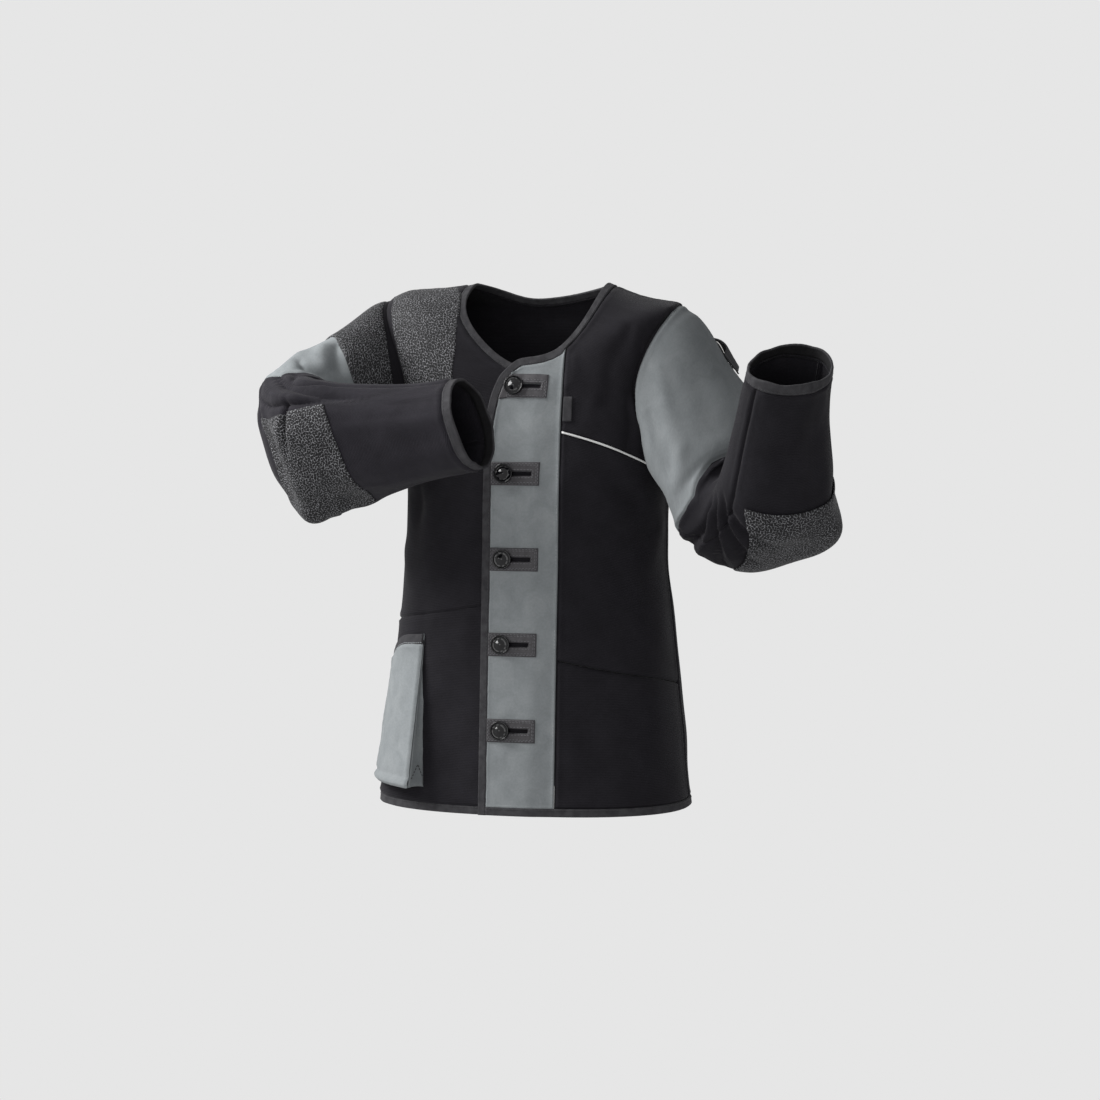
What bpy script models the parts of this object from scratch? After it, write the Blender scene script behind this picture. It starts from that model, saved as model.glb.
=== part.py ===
"""A rifle shooting jacket, filled out as if worn, with its right arm folded across
the chest and its left forearm raised.

Metres, +Z up. The wearer faces -Y and +X is the wearer's left. The origin is midway
between the two shoulder seams at the neck, where the jacket hangs on its wearer.
Every cloth piece is a wall cut from the torso surface or from a sleeve surface.
"""

import math
from collections import namedtuple

import bmesh
import bpy
import numpy as np

# ---- thicknesses and seams
CLOTH = 0.0020
LEATHER = 0.0014
PAD = 0.0016
BINDING_THICK = 0.0034
BINDING_WIDTH = 0.0105
SEAM_GAP = 0.0003
LAID_GAP = 0.0009  # under a pad, so its facets clear those of the cloth below
ELBOW_GAP = 0.0020  # the same where the cloth bends most
SHOULDER_GAP = 0.0015  # and over the shoulder

# ---- torso: one row for each section, from the hem up to the neckline
Section = namedtuple(
    "Section", "name t half_width front back z_front z_side z_back forward sideways"
)
TORSO = (
    Section("hem", 0.00, 0.216, 0.142, 0.128, -0.712, -0.712, -0.712, 0.022, -0.005),
    Section("hip", 0.18, 0.203, 0.138, 0.125, -0.590, -0.590, -0.590, 0.018, -0.003),
    Section("belly", 0.34, 0.190, 0.134, 0.120, -0.475, -0.475, -0.475, 0.014, -0.001),
    Section("waist", 0.48, 0.180, 0.130, 0.115, -0.375, -0.375, -0.370, 0.010, 0.000),
    Section("chest", 0.60, 0.178, 0.130, 0.116, -0.298, -0.294, -0.285, 0.006, 0.000),
    Section("armpit", 0.68, 0.184, 0.130, 0.118, -0.250, -0.243, -0.230, 0.002, 0.000),
    Section("armhole", 0.79, 0.192, 0.124, 0.112, -0.192, -0.140, -0.150, 0.000, 0.000),
    Section("shoulder", 0.90, 0.194, 0.108, 0.092, -0.136, -0.036, -0.062, 0.000, 0.000),
    Section("neck", 1.00, 0.092, 0.088, 0.066, -0.084, 0.000, -0.014, 0.000, 0.000),
)
ROUNDNESS = 2.35  # 2 is an ellipse, more is squarer
RAISED_SHOULDER = 0.020  # the raised arm lifts the right shoulder this much
WIDER_SHOULDER = 0.022  # and pushes it out this much

# ---- fronts, as distances from the middle of the body
CLOSING_EDGE = -0.0475
UNDERLAP_EDGE = 0.032
PLACKET_EDGE = 0.055
PLACKET_LIFT = CLOTH + 0.0032
CORNER_START = 0.038  # the rounded top corner of the closing edge begins here
CORNER_DROP = 0.150
CORNER_SHAPE = 0.8
CORNER_TURN = math.radians(34)  # where the closing edge becomes the neckline
NECK_DIP = 0.055  # the right front's neckline is this much lower in the middle
LEFT_DIP = 0.041  # the left front's neckline is this much lower where it is lowest
LEFT_DIP_AT = math.radians(21)
LEFT_DIP_SPREAD = math.radians(26)

# ---- rows of the torso from the hem up to the armhole's front, as levels at the
# side seam and where they meet each front edge; seams run along three of them
SIDE_LEVELS = (0.08, 0.16, 0.245, 0.36, 0.44, 0.52, 0.58, 0.635)
LEFT_EDGE_LEVELS = (0.10, 0.20, 0.300, 0.41, 0.51, 0.60, 0.69, 0.761)
RIGHT_EDGE_LEVELS = (0.09, 0.18, 0.280, 0.410, 0.49, 0.57, 0.65, 0.720)
LEFT_ARC_LEVEL = 0.850
RIGHT_ARC_LEVEL = 0.800
HIP_ROW_LEFT, HIP_ROW_RIGHT, CHEST_ROW = 3, 4, 8

# ---- armholes
ARMHOLE_STEPS = 12
ARMHOLE_FRONT = {-1: math.radians(24.5), 1: math.radians(31)}  # by side
ARMHOLE_BACK = math.radians(31)
ARMHOLE_LOW = 0.685
ARMHOLE_TOP = 0.905

SHOULDER_SHARES = (0.36, 0.70)  # rows between the armhole's top and the neckline

# ---- columns between a front's edge and its armhole, and across the back
LEFT_COLUMNS = 6
RIGHT_COLUMNS = 8
BACK_COLUMNS = 10

# ---- closure: one row for each button
Button = namedtuple("Button", "height middle patch_end")
BUTTONS = (
    Button(-0.1410, -0.0110, 0.0360),
    Button(-0.2565, -0.0190, 0.0290),
    Button(-0.3705, -0.0190, 0.0290),
    Button(-0.4840, -0.0190, 0.0290),
    Button(-0.5985, -0.0180, 0.0290),
)
BUTTON_RADIUS = 0.0130
BUTTON_THICK = 0.0048
SHANK_RADIUS = 0.0014
PATCH_HALF_HEIGHT = 0.0155
SLOT_HALF_HEIGHT = 0.0020
SLOT_BEHIND = 0.0055  # the slot begins this far behind the button's middle
SLOT_LENGTH = 0.0430

# ---- arms: where the middle of each sleeve passes
Arm = namedtuple("Arm", "side shoulder elbow wrist")
RIGHT_ARM = Arm(-1, (-0.200, 0.000, -0.116), (-0.298, -0.180, -0.228), (-0.010, -0.280, -0.184))
LEFT_ARM = Arm(1, (0.186, 0.000, -0.135), (0.322, -0.110, -0.330), (0.386, -0.250, -0.102))
ELBOW_ROUNDING = 0.060
SLEEVE_ROOM = 0.010  # between a sleeve's outer face and the body it lies against

# ---- sleeves: one row for each ring or fold. Stations run along the arm from the
# shoulder, on the crook side and on the elbow side of the ring.
Ring = namedtuple("Ring", "name crook elbow crook_depth elbow_depth half_width blend")
RIGHT_RINGS = (
    Ring("cap", 0.090, 0.075, 0.058, 0.068, 0.104, 0.32),
    Ring("cap_low", 0.095, 0.105, 0.057, 0.071, 0.103, 0.68),
    Ring("pad_end", 0.098, 0.130, 0.056, 0.072, 0.100, 1.00),
    Ring("upper", 0.122, 0.175, 0.052, 0.073, 0.101, 1.00),
    Ring("grey_end", 0.140, 0.212, 0.050, 0.072, 0.102, 1.00),
    Ring("fold_1", 0.148, 0.232, 0.044, 0.071, 0.101, 1.00),
    Ring("fold_2", 0.154, 0.252, 0.050, 0.071, 0.101, 1.00),
    Ring("fold_3", 0.160, 0.270, 0.044, 0.072, 0.101, 1.00),
    Ring("crook", 0.300, 0.290, 0.052, 0.073, 0.101, 1.00),
    Ring("pad_start", 0.308, 0.312, 0.050, 0.074, 0.098, 1.00),
    Ring("forearm", 0.322, 0.338, 0.050, 0.069, 0.092, 1.00),
    Ring("pad_close", 0.345, 0.368, 0.049, 0.062, 0.083, 1.00),
    Ring("forearm_mid", 0.395, 0.410, 0.048, 0.055, 0.073, 1.00),
    Ring("forearm_low", 0.450, 0.460, 0.047, 0.050, 0.065, 1.00),
    Ring("cuff", 0.510, 0.518, 0.046, 0.047, 0.061, 1.00),
    Ring("cuff_edge", 0.524, 0.532, 0.046, 0.047, 0.061, 1.00),
)
LEFT_RINGS = (
    Ring("cap", 0.090, 0.075, 0.064, 0.069, 0.096, 0.32),
    Ring("cap_low", 0.095, 0.105, 0.064, 0.070, 0.096, 0.68),
    Ring("upper_high", 0.098, 0.125, 0.064, 0.070, 0.094, 1.00),
    Ring("upper", 0.130, 0.168, 0.058, 0.071, 0.092, 1.00),
    Ring("upper_low", 0.150, 0.205, 0.054, 0.073, 0.092, 1.00),
    Ring("grey_end", 0.162, 0.232, 0.048, 0.076, 0.091, 1.00),
    Ring("fold_1", 0.169, 0.254, 0.054, 0.079, 0.089, 1.00),
    Ring("fold_2", 0.176, 0.274, 0.046, 0.082, 0.087, 1.00),
    Ring("crook", 0.335, 0.298, 0.054, 0.086, 0.086, 1.00),
    Ring("pad_start", 0.343, 0.322, 0.050, 0.087, 0.083, 1.00),
    Ring("forearm", 0.356, 0.352, 0.050, 0.082, 0.078, 1.00),
    Ring("pad_close", 0.378, 0.386, 0.049, 0.073, 0.072, 1.00),
    Ring("forearm_mid", 0.412, 0.424, 0.048, 0.061, 0.066, 1.00),
    Ring("forearm_low", 0.450, 0.462, 0.047, 0.052, 0.061, 1.00),
    Ring("cuff", 0.505, 0.515, 0.046, 0.047, 0.057, 1.00),
    Ring("cuff_edge", 0.519, 0.529, 0.045, 0.046, 0.057, 1.00),
)
CAP_END, CUFF_START, CUFF_END = 2, 15, 16  # rows of a sleeve, the armhole being row 0
GREY_END = {-1: 5, 1: 6}
FORE_SEAMS = {-1: (9, 25), 1: (9, 21)}  # columns where the forearm is sewn

# ---- pads, as two facing edges; each pair is a row and a column of the sleeve
SLEEVE_PAD_EDGES = (
    ((0.7, -4.0), (0.7, -1.5), (0.7, 1.0), (0.9, 2.7), (1.3, 4.1), (2.2, 6.5)),
    ((2.5, -4.0), (2.5, -1.5), (2.5, 1.0), (2.8, 2.7), (3.5, 4.3), (4.6, 6.1)),
)
RIGHT_ELBOW_PAD_EDGES = (
    ((11.4, 22.4), (11.6, 20.5), (11.6, 18.5), (11.7, 16.0), (11.5, 13.0)),
    ((6.2, 21.0), (6.2, 19.5), (6.2, 18.0), (6.2, 15.5), (6.2, 13.0)),
)
LEFT_ELBOW_PAD_EDGES = (
    ((11.0, 10.0), (11.0, 13.0), (11.0, 16.0), (11.0, 19.0), (11.0, 22.0)),
    ((7.4, 11.2), (7.4, 13.2), (7.4, 16.0), (7.4, 19.0), (7.4, 21.5)),
)
# the shoulder pad's two edges, as levels and angles (degrees) of the torso
SHOULDER_PAD_EDGES = (
    ((0.775, -38.5), (0.853, -39.0), (0.909, -41.0), (0.966, -51.5), (0.976, -68.0), (0.968, -104.0)),
    ((0.745, -62.5), (0.810, -62.5), (0.862, -66.0), (0.900, -71.5), (0.914, -80.0), (0.912, -104.0)),
)

# ---- side pocket
POCKET_FRONT = (math.radians(-45.5), math.radians(-50.5))  # at its bottom and its top
POCKET_BACK = math.radians(-101)
POCKET_LOW = 0.047
POCKET_TOP = ((0.0, 0.340), (0.3, 0.330), (0.6, 0.288), (1.0, 0.262))  # share back, level
POCKET_FLAT = 0.0072  # how far it stands out at its top and its back
POCKET_SWELL = 0.036  # how much further at the front of its bottom
POCKET_BAND = 0.012
POCKET_HEIGHT = 0.185
POCKET_CELLS = 8

# ---- trim
PIPING_RADIUS = 0.0014
TAB_SIZE = (0.012, 0.033)
TAB_PLACE = (0.0635, -0.170)
STRAP_EDGES = (
    ((0.80, -2.6), (1.00, -2.2), (1.20, -1.8), (1.40, -1.4), (1.60, -1.0)),
    ((1.20, -3.2), (1.40, -2.8), (1.60, -2.4), (1.80, -2.0), (2.00, -1.6)),
)
STRAP_SIZE = (0.031, 0.069)  # across and along
STRAP_RISE = 0.0046
RING_BAR = 0.0011
RING_SIZE = (0.019, 0.038)
RING_SHIFT = 0.10  # of the strap's length, from its middle

Paint = namedtuple("Paint", "name colour roughness metallic")
PAINTS = (
    Paint("canvas_black", (0.014, 0.013, 0.017), 0.85, 0.0),
    Paint("suede_grey", (0.165, 0.188, 0.195), 0.92, 0.0),
    Paint("grip_pad", (0.045, 0.045, 0.045), 0.70, 0.0),
    Paint("binding", (0.050, 0.050, 0.056), 0.80, 0.0),
    Paint("patch_leather", (0.058, 0.055, 0.060), 0.60, 0.0),
    Paint("button_black", (0.010, 0.010, 0.011), 0.15, 0.0),
    Paint("piping_white", (0.750, 0.750, 0.740), 0.60, 0.0),
    Paint("webbing_black", (0.018, 0.018, 0.020), 0.80, 0.0),
    Paint("ring_metal", (0.620, 0.610, 0.590), 0.30, 1.0),
)

Grid = namedtuple("Grid", "points normals")


def clear_scene():
    """Removes what Blender starts with."""
    for old in list(bpy.data.objects):
        bpy.data.objects.remove(old)


def mix_paint(paint):
    made = bpy.data.materials.new(paint.name)
    made.use_nodes = True
    shader = made.node_tree.nodes["Principled BSDF"]
    shader.inputs["Base Color"].default_value = (*paint.colour, 1.0)
    shader.inputs["Roughness"].default_value = paint.roughness
    shader.inputs["Metallic"].default_value = paint.metallic
    return made


def column(rows, name):
    """One named column of a table, as an array."""
    return np.array([getattr(row, name) for row in rows], float)


def smooth(x, xs, ys):
    """A smooth curve through the points of a table, read at x."""
    slopes = np.gradient(ys, xs)
    i = np.clip(np.searchsorted(xs, x, side="right") - 1, 0, len(xs) - 2)
    step = xs[i + 1] - xs[i]
    u = (x - xs[i]) / step
    return (
        (2 * u**3 - 3 * u**2 + 1) * ys[i]
        + (u**3 - 2 * u**2 + u) * step * slopes[i]
        + (3 * u**2 - 2 * u**3) * ys[i + 1]
        + (u**3 - u**2) * step * slopes[i + 1]
    )


def unit(v):
    return v / np.maximum(np.linalg.norm(v, axis=-1, keepdims=True), 1e-12)


def ease(x):
    """0 to 1 with a smooth start and end."""
    x = np.clip(x, 0, 1)
    return x * x * (3 - 2 * x)


def blend(first, last, share):
    return first + (last - first) * share


# ---- the torso surface
def torso_size(t, name):
    return smooth(t, column(TORSO, "t"), column(TORSO, name))


def torso(angle, t):
    """The outer face of the torso. angle is 0 at the front, a quarter turn at the
    wearer's left; t runs from 0 at the hem to 1 at the neckline."""
    angle, t = np.broadcast_arrays(np.asarray(angle, float), np.asarray(t, float))
    wide, front, back = (torso_size(t, n) for n in ("half_width", "front", "back"))
    s, c = np.sin(angle), np.cos(angle)
    deep = np.where(c > 0, front, back)
    reach = (np.abs(s / wide) ** ROUNDNESS + np.abs(c / deep) ** ROUNDNESS) ** (-1 / ROUNDNESS)
    low, side, high = (torso_size(t, n) for n in ("z_front", "z_side", "z_back"))
    z = side + np.where(c > 0, low - side, high - side) * c * c
    raised = ease((t - 0.68) / 0.2) * (1 - ease((t - 0.93) / 0.07))
    raised = raised * np.maximum(-s, 0) ** 2
    z = z + RAISED_SHOULDER * raised
    x = reach * s + torso_size(t, "sideways") - WIDER_SHOULDER * raised
    y = -reach * c - torso_size(t, "forward")
    return np.stack([x, y, z], axis=-1)


def torso_normal(angle, t):
    d = 1e-4
    t = np.clip(t, d, 1 - d)
    along = torso(angle + d, t) - torso(angle - d, t)
    up = torso(angle, t + d) - torso(angle, t - d)
    return unit(np.cross(along, up))


def torso_grid(angles, levels, lift=0.0):
    normals = torso_normal(angles, levels)
    lift = np.broadcast_to(np.asarray(lift, float), angles.shape)
    return Grid(torso(angles, levels) + normals * lift[..., None], normals)


def angle_at(x, t):
    """The angle where the front of the torso is x from the middle of the body."""
    wide, front = torso_size(t, "half_width"), torso_size(t, "front")
    x = x - torso_size(t, "sideways")
    depth = front * (1 - np.abs(x / wide) ** ROUNDNESS) ** (1 / ROUNDNESS)
    return np.arctan2(x, depth)


def on_front(x, z):
    """The angle and level of the front of the torso at x and z, found by halving."""
    x, z = np.broadcast_arrays(np.asarray(x, float), np.asarray(z, float))
    low, high = np.zeros(x.shape), np.ones(x.shape)
    for _ in range(40):
        middle = (low + high) / 2
        below = torso(angle_at(x, middle), middle)[..., 2] < z
        low, high = np.where(below, middle, low), np.where(below, high, middle)
    return angle_at(x, low), low


def level_step(angle, t, width):
    """The change of level that makes this width up a column."""
    d = 1e-4
    t = np.clip(t, d, 1 - d)
    speed = np.linalg.norm(torso(angle, t + d) - torso(angle, t - d), axis=-1) / (2 * d)
    return width / speed


# ---- armholes
def armhole_level():
    """Levels of the armhole's points, from its lowest to its top."""
    turn = np.linspace(0, math.pi, ARMHOLE_STEPS + 1)
    return blend(ARMHOLE_LOW, ARMHOLE_TOP, (1 - np.cos(turn)) / 2)


def armhole_spread(t, most):
    """How far the armhole's edge stands from the side seam, as an angle."""
    middle, half = (ARMHOLE_LOW + ARMHOLE_TOP) / 2, (ARMHOLE_TOP - ARMHOLE_LOW) / 2
    inside = np.clip(1 - ((t - middle) / half) ** 2, 0, 1)
    return most * np.sqrt(inside)


def armhole(side):
    """Angles and levels all round an armhole: its top, down the front, up behind."""
    level = armhole_level()[::-1]
    front = side * (math.pi / 2 - armhole_spread(level, ARMHOLE_FRONT[side]))
    back = side * (math.pi / 2 + armhole_spread(level, ARMHOLE_BACK))
    angles = np.concatenate([front, back[::-1][1:-1]])
    return angles, np.concatenate([level, level[::-1][1:-1]])


# ---- the sleeve surfaces
ArmLines = namedtuple("ArmLines", "shoulder elbow upper fore out_upper out_fore across")


def arm_lines(arm):
    """The arm's joints, its two directions, and the ways that point to the elbow."""
    shoulder, elbow, wrist = (np.array(p, float) for p in arm[1:])
    upper, fore = unit(elbow - shoulder), unit(wrist - elbow)
    outward = unit(upper - fore)
    out_upper = unit(outward - upper * (outward @ upper))
    out_fore = unit(outward - fore * (outward @ fore))
    return ArmLines(shoulder, elbow, upper, fore, out_upper, out_fore, unit(np.cross(upper, fore)))


def arm_point(lines, station, depth):
    """A point this far along the arm and this deep towards the elbow's side."""
    length = np.linalg.norm(lines.elbow - lines.shoulder)
    u = np.clip((station - length + ELBOW_ROUNDING) / (2 * ELBOW_ROUNDING), 0, 1)
    before = lines.elbow - lines.upper * ELBOW_ROUNDING
    after = lines.elbow + lines.fore * ELBOW_ROUNDING
    middle = (1 - u) ** 2 * before + 2 * u * (1 - u) * lines.elbow + u**2 * after
    middle = middle + lines.upper * min(station - length + ELBOW_ROUNDING, 0)
    middle = middle + lines.fore * max(station - length - ELBOW_ROUNDING, 0)
    return middle + unit(blend(lines.out_upper, lines.out_fore, ease(u))) * depth


def sleeve_grid(arm, rings):
    """The outer face of a sleeve: row 0 is the armhole, then one row for each ring.
    Its columns begin at the armhole's top and run down the front."""
    angles, levels = armhole(arm.side)
    start = torso(angles, levels)
    count = len(start)
    lines = arm_lines(arm)
    reach = start - start.mean(axis=0)
    seen = np.unwrap(np.arctan2(reach @ lines.across, reach @ lines.out_upper))
    way = np.sign(seen[count // 4] - seen[0])
    even = seen[0] + way * np.arange(count) * 2 * math.pi / count
    bearing = blend(even, seen, 0.35)[:, None]
    rows = [start]
    for ring in rings:
        crook = arm_point(lines, ring.crook, -ring.crook_depth)
        elbow = arm_point(lines, ring.elbow, ring.elbow_depth)
        round_ring = (
            (crook + elbow) / 2
            + np.cos(bearing) * (elbow - crook) / 2
            + np.sin(bearing) * lines.across * ring.half_width
        )
        rows.append(blend(start, round_ring, ring.blend))
    points = clear_of_torso(np.array(rows))
    ahead = np.roll(points, -1, axis=1) - np.roll(points, 1, axis=1)
    normals = unit(np.cross(ahead, np.gradient(points, axis=0)))
    facing = np.sum(normals * (points - points.mean(axis=1, keepdims=True)))
    normals = normals * np.sign(facing)
    seam = unit(normals[0] + torso_normal(angles, levels))
    normals[0] = seam
    away = unit(np.cross(seam, ahead[0]))
    away *= np.sign(np.sum(away * (points[0] - points[1]), axis=-1, keepdims=True))
    return Grid(points, normals), seam, away


def clear_of_torso(points):
    """Pushes a sleeve's rings out of the torso below the shoulder, as cloth lies."""
    x, y, z = np.moveaxis(points[1:], -1, 0)
    low, high = np.zeros(x.shape), np.full(x.shape, 0.86)
    for _ in range(30):
        level = (low + high) / 2
        middle_x, forward = torso_size(level, "sideways"), torso_size(level, "forward")
        angle = np.arctan2(x - middle_x, -(y + forward))
        surface = torso(angle, level)
        below = surface[..., 2] < z
        low, high = np.where(below, level, low), np.where(below, high, level)
    centre = np.stack([middle_x, -forward, z], -1)
    inside = np.linalg.norm((surface - centre)[..., :2], axis=-1)
    reach = points[1:] - centre
    far = np.linalg.norm(reach[..., :2], axis=-1)
    room = SLEEVE_ROOM * np.minimum(0.7 + 0.3 * np.arange(len(points) - 1), 1)[:, None]
    want = np.where(level < 0.85, inside + room, 0)
    points[1:] = centre + reach * np.maximum(want / far, 1)[..., None]
    return points


def on_grid(grid, row, col):
    """The point and direction of a closed grid between its rows and columns. It
    reads the same two triangles of each cell as the cloth's wall has."""
    count = grid.points.shape[1]
    r = np.clip(np.floor(row).astype(int), 0, len(grid.points) - 2)
    c = np.floor(col).astype(int)
    v, u = (row - r)[..., None], (col - c)[..., None]
    corners = [(r, c % count), (r, (c + 1) % count), (r + 1, (c + 1) % count), (r + 1, c % count)]
    found = []
    for values in grid:
        p00, p01, p11, p10 = (values[at] for at in corners)
        below = p00 + (p01 - p00) * u + (p11 - p01) * v
        above = p00 + (p11 - p10) * u + (p10 - p00) * v
        found.append(np.where(u >= v, below, above))
    return Grid(found[0], unit(found[1]))


# ---- walls
def wall(name, outer, inner, paint, closed=False, missing=()):
    """A sheet of cloth between two grids of points, joined round its edges.
    A closed one runs all the way round. missing lists the cells left out."""
    rows, cols = outer.shape[:2]
    spans = cols if closed else cols - 1
    mesh = bmesh.new()
    out = [[mesh.verts.new(p) for p in row] for row in outer]
    inn = [[mesh.verts.new(p) for p in row] for row in inner]
    cells = {(i, j) for i in range(rows - 1) for j in range(spans)} - set(missing)
    for i, j in cells:
        k = (j + 1) % cols
        left, right = (j - 1) % spans if closed else j - 1, (j + 1) % spans if closed else j + 1
        corners = ((i, j), (i, k), (i + 1, k), (i + 1, j))
        a, b, c, d = (out[r][s] for r, s in corners)
        e, f, g, h = (inn[r][s] for r, s in corners)
        faces = [(a, b, c), (a, c, d), (g, f, e), (h, g, e)]
        sides = (((i - 1, j), a, b, f, e), ((i, right), b, c, g, f))
        sides += (((i + 1, j), d, h, g, c), ((i, left), a, e, h, d))
        for _, p, q, r, s in [side for side in sides if side[0] not in cells]:
            faces += [(r, q, p), (s, r, p)]
        for face in faces:
            mesh.faces.new(face)
    loose = [v for v in mesh.verts if not v.link_faces]
    bmesh.ops.delete(mesh, geom=loose, context="VERTS")
    bmesh.ops.recalc_face_normals(mesh, faces=mesh.faces)
    return finish_mesh(name, mesh, paint)


def finish_mesh(name, mesh, paint):
    data = bpy.data.meshes.new(name)
    mesh.to_mesh(data)
    mesh.free()
    data.materials.append(paint)
    data.shade_smooth()
    data.set_sharp_from_angle(angle=math.radians(40))
    made = bpy.data.objects.new(name, data)
    bpy.context.scene.collection.objects.link(made)
    return made


def panel(name, grid, paint, rows, cols, thick=CLOTH, missing=()):
    """A piece cut from a grid between two rows and two columns, kept half a seam
    gap inside each of them. Columns past the last one run on round a closed grid."""
    count = grid.points.shape[1]
    closed = cols[1] - cols[0] == count
    picked = np.arange(cols[0], cols[1] + (0 if closed else 1)) % count
    points = grid.points[rows[0] : rows[1] + 1, picked]
    normals = grid.normals[rows[0] : rows[1] + 1, picked]
    moved = points.copy()
    moved[0] += unit(points[1] - points[0]) * SEAM_GAP / 2
    moved[-1] += unit(points[-2] - points[-1]) * SEAM_GAP / 2
    if not closed:
        moved[:, 0] += unit(points[:, 1] - points[:, 0]) * SEAM_GAP / 2
        moved[:, -1] += unit(points[:, -2] - points[:, -1]) * SEAM_GAP / 2
    return wall(name, moved, moved - normals * thick, paint, closed, missing)


def laid(name, grid, paint, gap, thick):
    """A piece that lies on the cloth whose points and directions the grid holds."""
    outer = grid.points + grid.normals * (gap + thick)
    return wall(name, outer, grid.points + grid.normals * gap, paint)


def between(edges, rows, cols):
    """Coordinates spread between two facing edges given as short lists of pairs."""
    first, last = (np.array(edge, float) for edge in edges)
    knots = np.linspace(0, 1, len(first))
    at = np.linspace(0, 1, cols + 1)
    ends = [np.stack([smooth(at, knots, e[:, k]) for k in (0, 1)], -1) for e in (first, last)]
    share = np.linspace(0, 1, rows + 1)[:, None, None]
    spread = blend(ends[0][None], ends[1][None], share)
    return spread[..., 0], spread[..., 1]


def tube(name, centres, radius, paint, sides=8, loop=False):
    """A round bar along a line of points."""
    centres = np.asarray(centres, float)
    if loop:
        ahead = unit(np.roll(centres, -1, axis=0) - np.roll(centres, 1, axis=0))
    else:
        ahead = unit(np.gradient(centres, axis=0))
    across = unit(np.cross(ahead, np.array([0.03, 0.21, 0.97])))
    up = np.cross(across, ahead)
    turn = np.linspace(0, 2 * math.pi, sides, endpoint=False)[:, None]
    mesh = bmesh.new()
    rings = []
    for c, a, u in zip(centres, across, up):
        rings.append([mesh.verts.new(c + radius * p) for p in np.cos(turn) * a + np.sin(turn) * u])
    last = len(rings) if loop else len(rings) - 1
    for i in range(last):
        first, second = rings[i], rings[(i + 1) % len(rings)]
        for j in range(sides):
            k = (j + 1) % sides
            mesh.faces.new((first[j], first[k], second[k], second[j]))
    if not loop:
        mesh.faces.new(rings[0])
        mesh.faces.new(rings[-1])
    bmesh.ops.recalc_face_normals(mesh, faces=mesh.faces)
    return finish_mesh(name, mesh, paint)


# ---- the torso panels. An armhole is a notch in the side of a grid: a few cells of
# its lower arc lie along one row, as many of its upper arc along another.
ARC = ARMHOLE_STEPS // 3
LOW_ROW = len(SIDE_LEVELS) + 2
HIGH_ROW = LOW_ROW + ARMHOLE_STEPS - 2 * ARC
TOP_ROW = HIGH_ROW + len(SHOULDER_SHARES) + 1

Layout = namedtuple("Layout", "angles levels free_angles free_levels missing rims")


def arc_points(side, turned):
    """Angle and level of half an armhole, from its lowest point up to its top."""
    level = armhole_level()
    spread = armhole_spread(level, ARMHOLE_BACK if turned > 0 else ARMHOLE_FRONT[side])
    return np.stack([side * (math.pi / 2 + turned * spread), level], -1)


def half_rows(at, side, columns, edge_x, edge_levels, arc_level):
    """Fills the rows of a front up to its armhole's top."""
    arc = arc_points(side, -1)
    seam = side * math.pi / 2
    count = columns + ARC
    for row, (at_edge, at_side) in enumerate(zip((0.0,) + edge_levels, (0.0,) + SIDE_LEVELS)):
        first = angle_at(edge_x, at_edge)
        angle = np.interp(np.arange(count + 1), (0, columns, count), (first, arc[ARC, 0], seam))
        at[row] = np.stack([angle, blend(at_edge, at_side, (angle - first) / (seam - first))], -1)
    share = np.linspace(0, 1, columns + 1)[:, None]
    above = np.linspace(arc_level, (1 + arc_level) / 2, HIGH_ROW - LOW_ROW + 1)
    for row, at_edge in enumerate(above):
        first = np.array([angle_at(edge_x, at_edge), at_edge])
        at[LOW_ROW + row, : columns + 1] = blend(first, arc[ARC + row], share)
        at[LOW_ROW + row, columns + 1 :] = arc[ARC + row]
    at[LOW_ROW, columns:] = arc[ARC::-1]
    at[HIGH_ROW, columns:] = arc[2 * ARC :]


def front_layout(side, edge_x, columns, edge_levels, arc_level, neckline):
    """Where the grid of one front is, from its edge at edge_x out to the side seam."""
    count = columns + ARC
    at = np.zeros((TOP_ROW + 1, count + 1, 2))
    half_rows(at, side, columns, edge_x, edge_levels, arc_level)
    free = neckline(angle_at(edge_x, 0.97))
    at[TOP_ROW, :, 0] = np.linspace(angle_at(edge_x, free), side * math.pi / 2, count + 1)
    rim = [(LOW_ROW, count - k) for k in range(ARC)]
    rim += [(row, columns) for row in range(LOW_ROW, HIGH_ROW + 1)]
    rim += [(HIGH_ROW, columns + k) for k in range(1, ARC + 1)]
    return bound_layout(at, neckline, range(columns, count), [rim], edge_x)


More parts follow.
